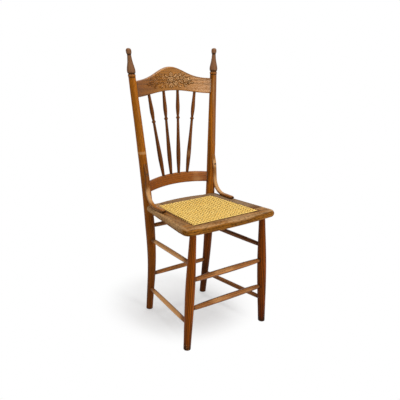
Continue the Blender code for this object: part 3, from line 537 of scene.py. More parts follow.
def bar(seed, centres, radii, sides, up, unevenness=UNEVENNESS):
    """Turned piece with rings square to its run."""
    run = unit(centres[-1] - centres[0])
    first = unit(up - np.dot(up, run) * run)
    axes = (first, np.cross(run, first))
    return turned(seed, centres, radii, sides, axes, lengths_along(centres), BAR_PERIOD, unevenness)


def upright(seed, centres, radii):
    """Turned piece with level rings, for legs and posts with flat feet."""
    return turned(seed, centres, radii, UPRIGHT_SIDES, np.eye(3)[:2], centres[:, 2], UPRIGHT_PERIOD)


# Rungs: height at each end and darkening all over, which on the right rungs under the seat is painted shade
RUNGS = (("front_upper", 0.2609, 0.2609, 0.05), ("front_lower", 0.153, 0.153, 0.05),
         ("rear_upper", 0.366, 0.366, 0.05), ("rear_lower", 0.1605, 0.1605, 0.05),
         ("left_upper", 0.3213, 0.3123, 0.05), ("left_lower", 0.0985, 0.096, 0.05),
         ("right_upper", 0.3185, 0.3172, 0.62), ("right_lower", 0.0985, 0.096, 0.2))
# Largest radius, wear of the pale side, which is also a painted highlight, turn of that side, painted shade on the
# sides turned away from it, and dirt and darkening at the ends
RUNG_LOOKS = {"front": (0.0108, 0.46, -0.95, 1.0, 1.0), "rear": (0.0092, 0.25, -0.95, 0.5, 1.0),
              "left": (0.0089, 1.4, 0.95, 0.65, 0.0), "right": (0.0089, 0.15, 1.0, 0.75, 1.0)}
LEG = (leg_axis, leg_radius)
POST = (post_axis, post_radius)
RUNG_CARRIERS = {"front": ((*LEG, -1), (*LEG, 1)), "rear": ((*POST, -1), (*POST, 1)),
                 "left": ((*LEG, -1), (*POST, -1)), "right": ((*LEG, 1), (*POST, 1))}
RUNG_RINGS = 90
RUNG_SIDES = 24


def rung_run(place, heights):
    """Where a rung leaves the surfaces of its two carriers, and its direction."""
    (start, near), (end, far) = ((axis(height, side), radius(height))
                                 for (axis, radius, side), height in zip(RUNG_CARRIERS[place], heights))
    run = unit(end - start)
    return start + run * near, end - run * far, run


RUNG_RUNS = [rung_run(name.split("_")[0], heights) for name, *heights, _ in RUNGS]
JOINTS = [(end, RUNG_TENON_RADIUS) for *ends, _ in RUNG_RUNS for end in ends]


def make_rungs():
    """Barrel-shaped rungs, pale on top where feet rub them, the pale stripe also a painted highlight, with painted
    shade to either side.
    """
    for seed, ((name, *_, darkened), (start, end, run)) in enumerate(zip(RUNGS, RUNG_RUNS), 100):
        radius, rubbed_and_lit, turn, under, dirt_and_shade = RUNG_LOOKS[name.split("_")[0]]
        start = start - run * RUNG_TENON
        length = norm(end + run * RUNG_TENON - start)
        plain = RUNG_TENON + RUNG_COLLAR
        at = np.concatenate(([0.0], np.linspace(RUNG_TENON, length - RUNG_TENON, RUNG_RINGS), [length]))
        t = np.clip((at - plain) / (length - 2 * plain), 0.0, 1.0)
        radii = RUNG_TENON_RADIUS + (radius - RUNG_TENON_RADIUS) * np.sin(pi * t).clip(0) ** 0.5
        radii[1:-1] = softened(radii[1:-1], 2)
        rings, wood, angles = bar(seed, start + at[:, None] * run, radii, RUNG_SIDES, (0, 0, 1))
        ends = np.minimum(at, length - at)[:, None]
        facing = np.cos(angles + turn)
        # The pale stripe is wear and painted highlight; the sides turned away from it carry painted shade.
        body(f"{name}_rung", "rung_oak", rings, wood,
             grime=0.85 * dirt_and_shade * hill((ends - RUNG_TENON).clip(0), 0.004),
             wear=rubbed_and_lit * np.sin(pi * t)[:, None] ** 0.7 * ease(0.2, 0.8, facing),
             shade=darkened + 0.2 * dirt_and_shade * hill(ends, 0.03) + under * ease(0.85, 0.25, facing))


# Posts: painted shadow at the foot, darkening below the ring, painted shade on the outer side, below the seat and
# at the foot, grey painted shade on the outer side, wear of the ring, and where the front is rubbed pale and
# painted with a highlight, as an angle in half turns
POSTS = (("left", -1, 0.0, 0.32, 0.0, 0.28, 0.15, 0.0, 1.1, 1.47),
         ("right", 1, 0.6, 0.15, 0.3, 0.75, 1.0, 0.5, 0.35, 1.32))
SHAFT_END = 0.925
COLLAR = 0.9305
POST_RINGS = 260
FINIAL_RINGS = 130
OUTER_TURN = 1.67 * pi
FINIAL_SHEEN_TURN = 1.22 * pi
GROOVES = ((FINIAL_FOOT, 0.0018), (BULB_FOOT + 0.0022, 0.003), (BALL_FOOT, 0.0028))


def make_posts():
    """Bent rear posts with their turned finials."""
    shaft = np.concatenate((FOOT_HEIGHTS, np.linspace(SHAFT_START, SHAFT_END, POST_RINGS)))
    crown = np.linspace(FINIAL[0][0], TOTAL_HEIGHT, FINIAL_RINGS)
    below = softened(post_radius(shaft), 2) - straight(FOOT_ROUNDING, shaft)
    radii = np.concatenate((below, curve(FINIAL, crown)))
    heights = np.concatenate((shaft, crown))
    tall = heights[:, None]
    finial = ease(SHAFT_END, 0.942, tall)
    for seed, (name, side, *looks) in enumerate(POSTS, 10):
        foot_grime, below_ring, outer_shade, below_seat, foot_shade, outer_shade_grey, ring_wear, rubbed_and_lit = looks
        rings, wood, angles = upright(seed, post_axis(heights, side), radii)
        # Painted shade, darker and greyer, on the side of the upper post turned towards +X and the front; only the
        # right post has it.
        outer = ease(0.3, 0.95, np.cos(angles - OUTER_TURN)) * ease(0.62, 0.7, tall)
        sheen = np.cos(angles - FINIAL_SHEEN_TURN)
        # Dirt round the joints and under the foot; the right post's darker lower part is painted shadow, and the
        # finial's dark edges and back are painted shade.
        grime = most(0.35 * dirt_round(rings, JOINTS), 0.5 * ease(0.012, 0.0, tall),
                     foot_grime * ease(0.24, 0.1, tall), 0.42 * ease(0.85, 0.2, sheen) * finial)
        for low, high in (crest_edges(1.0), lower_rail_edges(1.0)):
            level = most(low - tall, tall - high, 0.0)
            grime = most(grime, 0.7 * ease(0.9, 1.0, -side * np.cos(angles)) * hill(level, 0.003))
        for groove, width in GROOVES:
            grime = most(grime, hill(tall - groove, width))
        # Darker below the ring, with painted shade below the seat and towards the foot, most on the right post.
        shade = (0.1 + below_ring * ease(POST_RING, POST_RING - 0.02, tall) + outer_shade * outer
                 + below_seat * ease(0.44, 0.4, tall) + foot_shade * ease(0.24, 0.06, tall))
        # Wear on the ring and partly on the front of the upper post; the collar, the finial's middle and that front
        # are also painted highlights.
        wear = (ring_wear * hill(tall - POST_RING, 0.006) + 0.12 * ease(0.927, 0.935, tall)
                + 0.2 * finial * ease(0.88, 0.99, sheen) + 0.35 * hill(tall - COLLAR, 0.003)
                + 0.42 * hill(angles - rubbed_and_lit * pi, 0.4) * ease(0.7, 0.8, tall) * ease(0.93, 0.91, tall))
        body(f"{name}_rear_post", "post_oak", rings, wood, grime=grime, wear=wear, shade=shade,
             fade=most(0.82 * finial, outer_shade_grey * outer))


LEG_SHOULDER = 0.4255
LEG_SOCKET = 0.004
LEG_RINGS = 130
LEG_SHADE = {"left": 0.16, "right": 0.6}


def make_legs():
    """Swelled front legs, the left one with a scuffed foot."""
    (swell, _), (neck, neck_radius) = LEG_RADII[1:]
    top = SEAT_UNDERSIDE
    heights = np.concatenate((FOOT_HEIGHTS, np.linspace(SHAFT_START, neck, LEG_RINGS),
                              (LEG_SHOULDER, top, top + LEG_SOCKET)))
    radii = leg_radius(heights) - straight(FOOT_ROUNDING, heights)
    radii[-3:] = ((neck_radius + LEG_TENON_RADIUS) / 2, LEG_TENON_RADIUS, LEG_TENON_RADIUS)
    tall = heights[:, None]
    for seed, (name, side) in enumerate(SIDES, 20):
        rings, wood, angles = upright(seed, leg_axis(heights, side), radii)
        grime = most(0.9 * dirt_round(rings, JOINTS), 0.6 * ease(top - 0.012, top, tall),
                     0.9 * ease(0.032, 0.004, tall + 0.006 * np.sin(3 * angles + seed)))
        scuffs = ease(0.35, 0.75, np.sin(5 * angles + 1.0) * np.sin(700 * tall + 3 * angles))
        scuffs = scuffs * (tall < 0.022) * (side < 0)
        body(f"{name}_front_leg", "leg_oak", rings, wood, grime=grime * (1 - 0.85 * scuffs),
             wear=0.16 * hill(tall - swell, 0.1) + 0.9 * scuffs,
             shade=LEG_SHADE[name] + 0.4 * ease(0.16, 0.0, tall) + 0.15 * ease(0.36, 0.42, tall))


SPINDLE_SIDES = 22
SPINDLE_RINGS = 150
BEAD_RINGS = 50
BEAD_SPAN = (0.28, 0.37)
SPINDLE_UNEVENNESS = 0.00006
SWELL_WEAR = (0.2, 0.2, 0.2, 0.4)


def make_spindles():
    """Fan of turned spindles, each with a bead and a swelled foot."""
    t = np.unique(np.concatenate((np.linspace(0.0, 1.0, SPINDLE_RINGS), np.linspace(*BEAD_SPAN, BEAD_RINGS))))
    for number, (top_place, foot_place) in enumerate(zip(SPINDLE_TOP_PLACES, SPINDLE_FOOT_PLACES)):
        head = spindle_end(top_place, crest_edges, 0, CREST_BOW)
        foot = spindle_end(foot_place, lower_rail_edges, 1, LOWER_RAIL_BOW)
        length = norm(foot - head)
        at = np.concatenate(([-SPINDLE_TENON], t * length, [length + SPINDLE_TENON]))
        radii = curve(SPINDLE_OUTLINE, np.clip(at / length, 0.0, 1.0))
        centres = head + at[:, None] * unit(foot - head)
        rings, wood, _ = bar(40 + number, centres, radii, SPINDLE_SIDES, (0, -1, 0), SPINDLE_UNEVENNESS)
        place = at[:, None] / length
        waists = hill((np.abs(place - SPINDLE_BEAD) - 0.017).clip(0), 0.008) * ease(0.0056, 0.0042, radii)[:, None]
        ends = hill(place.clip(0), 0.012) + hill((1 - place).clip(0), 0.012)
        body(f"back_spindle_{number + 1}", "spindle_oak", rings, wood, shade=0.1,
             grime=most(0.8 * waists, 0.7 * ends),
             wear=0.35 * hill(place - SPINDLE_BEAD, 0.01) + SWELL_WEAR[number] * hill(place - SPINDLE_SWELL, 0.09))


# Boards of the back and the pressed pattern

PATTERN_HEIGHT = 0.905
PATTERN_LIFT = 0.003
MOAT_DEPTH = 0.0014
RIGHT_REACH = 0.9
LEFT_REACH = 1.06

# The pattern's right half, which the left one mirrors, in millimetres and radians from the pattern's middle
MOAT_WIDTH = 2.4
MOAT_FLOOR = 0.4
LEAF_POINTS = 29
SCROLL_POINTS = 49
# Rosettes: across, up, radius, petals and turn
ROSETTES = ((0.0, 22.5, 8.5, 6, 0.5), (0.0, 5.0, 11.0, 8, 0.0), (25.0, -9.5, 8.5, 6, 0.3),
            (33.5, 10.0, 8.5, 5, 0.9), (52.5, 9.0, 8.0, 6, 0.0), (69.5, 1.0, 9.0, 5, 0.4))
# Leaves: root, tip, half-width, bend and count of lobes
LEAVES = ((0.0, -8.0, 0.0, -28.0, 3.6, 0.0, 3), (2.0, -9.0, 9.0, -26.0, 3.4, 2.0, 2),
          (8.0, -8.0, 25.0, -24.0, 3.4, 4.0, 3), (13.0, 14.0, 27.0, 25.0, 3.6, -3.0, 3),
          (18.0, 5.0, 9.0, 15.0, 2.4, 1.5, 0), (41.0, 17.0, 50.0, 29.0, 3.4, -4.0, 3),
          (60.0, 13.0, 68.0, 21.0, 3.0, -3.0, 2), (36.0, -4.0, 50.0, -6.0, 3.4, 3.0, 3),
          (34.0, -16.0, 52.0, -21.0, 3.4, -4.0, 3), (48.0, -9.0, 62.0, -13.0, 3.0, 3.0, 2),
          (77.0, 7.0, 92.0, 13.0, 3.6, -4.0, 3), (78.0, -3.0, 99.0, -2.0, 3.6, 4.0, 4),
          (90.0, -6.0, 110.0, -10.0, 2.8, -3.0, 3))
# Scrolls: centre, outer and inner radius, start angle, turns and half-width
SCROLLS = ((72.0, -17.0, 7.5, 2.0, 2.6, 1.35, 1.7), (44.0, 20.0, 5.0, 1.6, 3.6, -1.1, 1.3),
           (14.0, -3.0, 4.5, 1.5, 0.2, 1.1, 1.3), (86.0, -12.0, 5.0, 1.6, 1.6, -1.2, 1.3))


def rosette(x, z, middle_x, middle_z, radius, petals, turn):
    """Distance outside a ring of petals and how puffed the petals are inside it."""
    reach = np.hypot(x - middle_x, z - middle_z)
    angle = np.arctan2(z - middle_z, x - middle_x)
    lobe = np.abs(np.cos(petals / 2 * (angle - turn)))
    edge = radius * (0.68 + 0.32 * lobe ** 0.6)
    petal = np.sqrt(np.clip(1 - ((reach / edge - 0.64) / 0.38) ** 2, 0, 1)) * (0.25 + 0.75 * lobe ** 0.7)
    button = np.sqrt(np.clip(1 - (reach / (0.27 * radius)) ** 2, 0, 1))
    return reach - edge, most(petal, button)


def stroke(x, z, spine, widths, vein):
    """Distance outside a stroke along a spine and how puffed it is inside, with a vein pressed into leaves."""
    gaps = np.hypot(x[..., None] - spine[:, 0], z[..., None] - spine[:, 1])
    nearest = np.argmin(gaps - widths, axis=-1)
    gap = np.take_along_axis(gaps, nearest[..., None], -1)[..., 0]
    width = widths[nearest]
    puff = np.sqrt(np.clip(1 - (gap / width) ** 2, 0, 1))
    return gap - width, puff - vein * hill(gap, 0.22 * width)


def leaf(x, z, root_x, root_z, tip_x, tip_z, width, bend, lobes):
    """A pointed leaf with lobed edges along a bent spine."""
    t = np.linspace(0, 1, LEAF_POINTS)
    root = np.array((root_x, root_z))
    run = (tip_x, tip_z) - root
    aside = np.array((-run[1], run[0])) / norm(run)
    spine = root + t[:, None] * run + (4 * t * (1 - t))[:, None] * aside * bend
    widths = width * np.sin(pi * (0.1 + 0.88 * t)) ** 0.8 * (0.88 + 0.16 * np.cos(tau * lobes * t))
    return stroke(x, z, spine, widths, 0.5)


def scroll(x, z, middle_x, middle_z, outer, inner, start, turns, width):
    """A spiral stroke that thins towards its eye."""
    t = np.linspace(0, 1, SCROLL_POINTS)
    radius = outer + (inner - outer) * t
    angle = start + tau * turns * t
    spine = stacked(middle_x + radius * np.cos(angle), middle_z + radius * np.sin(angle))
    return stroke(x, z, spine, width * (1.0 - 0.35 * t), 0.0)


def pressed(x, z):
    """Depth, darkness and puff of the pattern at points across and up from its middle, in millimetres."""
    half = np.abs(x) / np.where(x > 0, RIGHT_REACH, LEFT_REACH)
    motifs = ((rosette, ROSETTES), (leaf, LEAVES), (scroll, SCROLLS))
    gaps, puffs = zip(*(motif(half, z, *spec) for motif, specs in motifs for spec in specs))
    puff = most(0.0, *puffs)
    field = ease(MOAT_WIDTH, MOAT_FLOOR, reduce(np.minimum, gaps))
    return MOAT_DEPTH * field - PATTERN_LIFT * puff, field * (1 - ease(0.05, 0.75, puff)), puff


BACK_ROWS = 15
CREST_RINGS = 371
CREST_ROWS = 115
LOWER_RAIL_RINGS = 121
LOWER_RAIL_ROWS = 21


def board_section(front_rows):
    """A board's section, as shares of its flat half-height and rounding upwards, then of the same backwards."""
    arc = np.linspace(0, pi / 2, 7)[1:-1]
    parts = []
    for turn, rows in ((1, front_rows), (-1, BACK_ROWS)):
        face = stacked(np.linspace(-1, 1, rows), 0, -1, -1)
        edge = stacked(1, 1, np.linspace(-1, 1, 5), 0)
        before = stacked(1, np.sin(arc), -1, -np.cos(arc))
        after = stacked(1, np.cos(arc), 1, np.sin(arc))
        parts += [turn * part for part in (face, before, edge, after)]
    return np.concatenate(parts).T


def board(edges, which, places, thickness, bow, tenon, count, front_rows):
    """A bent board: shares of the way to the posts' axes, rings from the front's foot up, over the top edge and
    down the back, the depth of their points, dark joints at posts and spindles, and nearness to the top edge."""
    middle = sum(edges(1.0)) / 2
    share = (1 - (post_radius(middle) - tenon) / post_axis(middle)[0]) * np.linspace(-1, 1, count)[:, None]
    tall, above, deep, behind = board_section(front_rows)
    foot, top = edges(share)
    up = ((top - foot) / 2 - BOARD_ROUNDING) * tall + BOARD_ROUNDING * above
    front = (thickness / 2 - BOARD_ROUNDING) * deep + BOARD_ROUNDING * behind
    rings = back_point(share, (foot + top) / 2 + up, bow)
    rings[..., 1] += front
    x, _, z = np.moveaxis(rings, -1, 0)
    inner = np.abs(x) - (post_axis(z)[..., 0] - post_radius(z))
    spots = [(spindle_end(place, edges, which, bow), SPINDLE_OUTLINE[0][1]) for place in places]
    grime = 0.8 * most(hill(np.minimum(inner, 0.0), 0.0035), dirt_round(rings, spots))
    return share, rings, front, grime, hill(z - top + 0.003, 0.003)


def make_crest():
    """Bent crest with a humped top and a pressed floral pattern."""
    share, rings, front, grime, edge = board(
        crest_edges, 0, SPINDLE_TOP_PLACES, CREST_THICKNESS, CREST_BOW, CREST_TENON, CREST_RINGS, CREST_ROWS)
    wear = np.zeros(grime.shape)
    face = rings[:, :CREST_ROWS]
    sunk, dark, puff = pressed(face[..., 0] * 1000, (face[..., 2] - PATTERN_HEIGHT) * 1000)
    face[..., 1] += sunk
    clear = ease(-0.35, 0.15, share)
    grime[:, :CREST_ROWS] = most(grime[:, :CREST_ROWS], (0.28 + 0.62 * clear) * dark)
    # The raised strokes are pale, more so to the right: partly wear, partly painted highlight.
    wear[:, :CREST_ROWS] = (0.4 + 0.6 * clear) * ease(0.4, 0.9, puff)
    body("crest_rail", "crest_oak", rings,
         grain(31, rings[..., 0], rings[..., 2] - PATTERN_HEIGHT, 1.5 * front, 0.05),
         grime=most(grime, 0.5 * edge * ease(0.05, 0.25, share)), wear=most(wear, 0.3 * edge * (share < 0)),
         shade=0.08 + 0.25 * ease(0.6, 1.0, np.abs(share)) + 0.54 * ease(-0.2, -0.6, share))


def make_lower_rail():
    """Bent lower back rail."""
    share, rings, front, grime, edge = board(
        lower_rail_edges, 1, SPINDLE_FOOT_PLACES, LOWER_RAIL_THICKNESS, LOWER_RAIL_BOW, LOWER_RAIL_TENON,
        LOWER_RAIL_RINGS, LOWER_RAIL_ROWS)
    # The right end of the front is painted pale, a painted highlight where the sheen falls; the top edge is pale
    # from wear.
    body("lower_back_rail", "rail_oak", rings, grain(32, rings[..., 0], rings[..., 2], 1.5 * front, 0.05),
         grime=grime, wear=most(0.35 * edge, 0.5 * hill(share - 0.6, 0.25) * (front < 0)),
         shade=0.1 + 0.35 * ease(0.55, 1.0, np.abs(share)) + 0.14 * ease(0.1, -0.5, share))


# Seat frame: rings from the inner underside up, over the top to the bullnose and back underneath

HOLE_PITCH = 0.012
HOLE_RADIUS = 0.0021
HOLE_DEPTH = 0.0022
HOLE_INSET = 0.009
CANE_FRONT = OPENING_FRONT_Y - HOLE_INSET
CANE_BACK = OPENING_BACK_Y + HOLE_INSET
LEFT_FRONT_LAP = 0.004
LEFT_BACK_LAP = 0.012
INNER_ROUNDING = 0.0022
NOSE_REACH = 0.017
NOSE_SIDE_REACH = 0.01
NOSE_UNDERCUT = 0.009
SIDE_UNDERCUT = 0.003
EAR_ROUNDING = 0.009
EAR_DRAW = 0.85
TOP_ROWS = 40
NOSE_ROWS = 9
FRONT_RINGS = (30, 40, 320, 40, 30)
OUTER_CORNER_POINTS = 12
INNER_CORNER_POINTS = 8
SIDE_RINGS = 240
REAR_RINGS = 260
# Darkening, fading and wear of each rail's top, then wear of its nose, which on the left rail is also painted light
RAIL_LOOKS = {"front": (0.1, 0.0, 0.53, 0.2), "left": (0.31, 0.05, 0.44, 0.72),
              "right": (0.45, 0.64, 0.25, 0.2), "rear": (0.12, 0.45, 0.4, 0.2)}


def rail_section():
    """Cross-section of a seat rail: share of the way out, lip, part in the nose, part in the undercut, height."""
    arc = np.linspace(0, pi / 2, NOSE_ROWS)
    back = arc[-2::-1]
    lip = np.linspace(0, pi / 2, 5)
    top = np.linspace(0, 1, TOP_ROWS)[1:-1]
    below = np.linspace(1, 0, 8)[1:-1]
    half = SEAT_THICKNESS / 2
    return np.concatenate((
        [(0.0, 0.0, 0.0, 0.0, SEAT_UNDERSIDE)],
        stacked(0, INNER_ROUNDING * (1 - np.cos(lip)), 0, 0, SEAT_HEIGHT - INNER_ROUNDING * (1 - np.sin(lip))),
        stacked(top, INNER_ROUNDING * (1 - top), -top, 0, SEAT_HEIGHT),
        stacked(1, 0, np.sin(arc) - 1, 0, SEAT_HEIGHT - half * (1 - np.cos(arc))),
        stacked(1, 0, 0, np.sin(back) - 1, SEAT_UNDERSIDE + half * (1 - np.cos(back))),
        stacked(below, 0, 0, -below, SEAT_UNDERSIDE)))


def rail_rings(inner, outer, reach=NOSE_SIDE_REACH, undercut=SIDE_UNDERCUT):
    """Rings of a rail between rows of inner and outer plan points, with its nose's reach and undercut at each."""
    share, lip, nose, under, height = rail_section().T
    span = outer - inner
    length = norm(span, axis=1)[:, None]
    out = share * length + lip + nose * np.reshape(reach, (-1, 1)) + under * np.reshape(undercut, (-1, 1))
    plan = inner[:, None] + out[..., None] * (span / length)[:, None]
    return stacked(plan[..., 0], plan[..., 1], height)


def cane_edge(y, side):
    """Half-width of the woven field on a side at a depth; it laps farther over the left rail."""
    lap = sloped((OPENING_FRONT_Y, LEFT_FRONT_LAP), (OPENING_BACK_Y, LEFT_BACK_LAP), y)
    return opening_edge(y) + HOLE_INSET + (side < 0) * lap


def cane_holes():
    """Plan points of the drilled holes round the opening."""
    places = ((-1, CANE_FRONT), (1, CANE_FRONT), (1, CANE_BACK), (-1, CANE_BACK))
    corners = [np.array((side * cane_edge(y, side), y)) for side, y in places]
    holes = []
    for start, end in zip(corners, corners[1:] + corners[:1]):
        count = round(norm(end - start) / HOLE_PITCH)
        holes += [start + (end - start) * step / count for step in range(count)]
    return holes


def rail_piece(name, seed, rings, ends):
    """A seat rail with the cane's holes dished into its top, dirty ends, a bullnose pale from wear, painted light
    on the left rail's nose and ear, and painted shade along the cane's edge.
    """
    darkened, faded, top_wear, nose_wear = RAIL_LOOKS[name]
    x, y, z = np.moveaxis(rings, -1, 0)
    dark = most(*(hill(np.hypot(x - hole[0], y - hole[1]), HOLE_RADIUS) for hole in cane_holes()))
    dark = dark * (z > SEAT_HEIGHT - GAP)
    z -= HOLE_DEPTH * dark
    front = SEAT_FRONT_Y + SEAT_FRONT_BOW * (x / SEAT_FRONT_HALF) ** 2
    rim = most(np.abs(x) - seat_edge(y), front - y)
    on_top = ease(-0.006, -0.014, rim)
    # The left rail's nose and rear ear are lit pale with painted light, partly wear.
    ear = ease(0.05, 0.12, y) * (name == "left")
    nose = nose_wear + 0.5 * ease(SEAT_CORNER_Y - 0.006, FRONT_JOINT_Y, y) * (x < 0) * (name == "front")
    wear = nose + (top_wear - nose) * on_top + 0.6 * ear + 0.28 * hill(rim + 0.009, 0.006) * (name == "front")
    wear *= ease(SEAT_UNDERSIDE + 0.001, SEAT_HEIGHT - 0.013, z)
    # Just outside the woven field the top is darkened: painted shade where the cane meets the rail.
    outside = most(np.abs(x) - cane_edge(y, x), CANE_FRONT - y, y - CANE_BACK)
    stain = ripple(seed, x * 1.3 + y, 0.17, 0.12) + ripple(seed + 1, y * 1.7 - x, 0.11, 0.1)
    along, across = (x, y) if name in ("front", "rear") else (y, x)
    body(f"seat_{name}_rail", "seat_oak", rings, grain(seed, along, across, z, 0.04), wear=wear,
         grime=most(0.95 * dark ** 0.45, ends, 0.45 * hill(outside - 0.0045, 0.0022) * (z > SEAT_HEIGHT - 0.004)),
         shade=np.clip(darkened * on_top + stain - 0.5 * ear, 0.0, 0.7),
         fade=faded * on_top * ease(FRONT_JOINT_Y, FRONT_JOINT_Y + 0.05, y))


def joint_grime(rings):
    """Grime in the joints between the front rail and the side rails."""
    return 0.7 * hill(rings[..., 1] - FRONT_JOINT_Y, 0.0012)


def arc_points(corner, before, after, radius, steps):
    """Points of a corner between two plan directions rounded with an arc."""
    corner = Vector(corner)
    before = (Vector(before) - corner).normalized()
    after = (Vector(after) - corner).normalized()
    half = before.angle(after) / 2
    centre = corner + (before + after).normalized() * radius / sin(half)
    start = corner + before * radius / tan(half) - centre
    end = corner + after * radius / tan(half) - centre
    sweep = start.angle(end)
    return [centre + (start * sin((1 - t) * sweep) + end * sin(t * sweep)) / sin(sweep)
            for t in np.linspace(0, 1, steps)]


def spread_evenly(points, count):
    """Points at even steps along a line."""
    points = np.array([tuple(point) for point in points])
    along = lengths_along(points)
    at = np.linspace(0, along[-1], count)
    return np.stack([np.interp(at, along, points[:, axis]) for axis in range(2)], -1)


def front_line(half, corner, radius, steps, between):
    """Plan line of the front rail's outer or inner edge, from joint to joint round its two corners."""
    joint = (half, FRONT_JOINT_Y)
    left_joint = (-half, FRONT_JOINT_Y)
    left = arc_points((-corner[0], corner[1]), left_joint, between[0], radius, steps)
    right = arc_points(corner, between[-1], joint, radius, steps)
    parts = ((left_joint, left[0]), left, (left[-1], *between, right[0]), right, (right[-1], joint))
    lines = [spread_evenly(part, count) for part, count in zip(parts, FRONT_RINGS)]
    return np.concatenate(lines[:1] + [line[1:] for line in lines[1:]])


def make_front_rail():
    """Front rail, with rounded outer corners and a bowed nose."""
    share = np.linspace(-0.6, 0.6, 25)
    bow = stacked(share * SEAT_FRONT_HALF, SEAT_FRONT_Y + SEAT_FRONT_BOW * share ** 2).tolist()
    outer = front_line(seat_edge(FRONT_JOINT_Y), (SEAT_FRONT_HALF, SEAT_CORNER_Y), CORNER_RADIUS,
                       OUTER_CORNER_POINTS, bow)
    inner = front_line(opening_edge(FRONT_JOINT_Y), (OPENING_FRONT_HALF, OPENING_FRONT_Y), OPENING_CORNER_RADIUS,
                       INNER_CORNER_POINTS, [(0.0, OPENING_FRONT_Y)])
    middle = ease(SEAT_FRONT_HALF - CORNER_RADIUS, 0.11, np.abs(outer[:, 0]))
    corner = ease(FRONT_JOINT_Y, SEAT_CORNER_Y, outer[:, 1])
    rings = rail_rings(inner, outer, NOSE_SIDE_REACH + (NOSE_REACH - NOSE_SIDE_REACH) * middle,
                       SIDE_UNDERCUT + (NOSE_UNDERCUT - SIDE_UNDERCUT) * corner)
    rail_piece("front", 51, rings, joint_grime(rings))


def draw_in(y, radius, limit=1.0):
    """How far an edge rounded with a radius draws in towards the seat's back."""
    tail = np.clip(y - (SEAT_BACK_Y - radius), 0.0, limit * radius)
    return radius - np.sqrt(radius ** 2 - tail ** 2)


def make_side_rails():
    """Side rails from the front rail to the posts, with rounded rear ears."""
    y = np.linspace(FRONT_JOINT_Y + GAP, SEAT_BACK_Y, SIDE_RINGS)
    half = SEAT_THICKNESS / 2
    middle = SEAT_HEIGHT - half
    squeeze = 1 - draw_in(y, EAR_ROUNDING, 0.999) / half
    for seed, (name, side) in enumerate(SIDES, 52):
        rings = rail_rings(stacked(side * opening_edge(y), y),
                           stacked(side * (seat_edge(y) - EAR_DRAW * draw_in(y, EAR_RADIUS)), y))
        rings[..., 2] = middle + (rings[..., 2] - middle) * squeeze[:, None]
        post = post_axis(SEAT_HEIGHT, side)
        away = np.hypot(rings[..., 0] - post[0], rings[..., 1] - post[1]) - post_radius(SEAT_HEIGHT)
        rail_piece(name, seed, rings, most(joint_grime(rings), 0.8 * hill(np.maximum(away, 0.0), 0.004)))


def make_rear_rail():
    """Rear rail between the side rails, its bowed nose towards the back."""
    share = np.linspace(-1, 1, REAR_RINGS)
    inner = stacked(share * (opening_edge(OPENING_BACK_Y) - GAP), OPENING_BACK_Y)
    outer = stacked(share * (opening_edge(SEAT_BACK_Y) - GAP), SEAT_BACK_Y + SEAT_BACK_BOW * (1 - share ** 2))
    rings = rail_rings(inner, outer)
    rings[..., 0] = share[:, None] * (opening_edge(rings[..., 1]) - GAP)
    rail_piece("rear", 55, rings, 0.6 * hill(np.abs(share)[:, None] - 1, 0.012))


# Hip braces

BRACE_RINGS = 190
BRACE_SIDES = 48
BRACE_SQUARENESS = 0.65
BEND_POINTS = 40
DIMPLE_DEPTH = 0.0012
BRACE_SHADE = {"left": 0.55, "right": 0.15}


def brace_path():
    """Centre line of a brace from its tip on the post to its end on the seat, with its thickness, as rows."""
    foot = SEAT_HEIGHT + GAP + BRACE_THICKNESS / 2
    taper_foot = BRACE_TOP - BRACE_TAPER
    seated = (post_front(taper_foot) - BRACE_THICKNESS / 2 + BRACE_LET_IN, taper_foot)
    tip = (post_front(BRACE_TOP) + BRACE_TIP_THICKNESS / 2, BRACE_TOP)
    corner = (post_front(foot) - BRACE_THICKNESS / 2 + BRACE_LET_IN, foot)
    flat = (BRACE_END_Y + BRACE_NOSE, foot)
    end = (BRACE_END_Y, foot - BRACE_NOSE_DROP / 2)
    bend = arc_points(corner, seated, flat, BRACE_BEND_RADIUS, BEND_POINTS)
    path = spread_evenly([tip, seated, *bend, flat, end], BRACE_RINGS)
    path[1:-1] = (path[:-2] + path[1:-1] + path[2:]) / 3
    tapered = np.clip(1 - (BRACE_TOP - path[:, 1]) / BRACE_TAPER, 0, 1)
    nose = np.clip(1 - (path[:, 0] - BRACE_END_Y) / BRACE_NOSE, 0, 1)
    return path, BRACE_THICKNESS - (BRACE_THICKNESS - BRACE_TIP_THICKNESS) * tapered - BRACE_NOSE_DROP * nose ** 2


def squarish(values):
    """Cosines or sines pushed outwards, so that a round section turns squarish."""
    return np.sign(values) * np.abs(values) ** BRACE_SQUARENESS


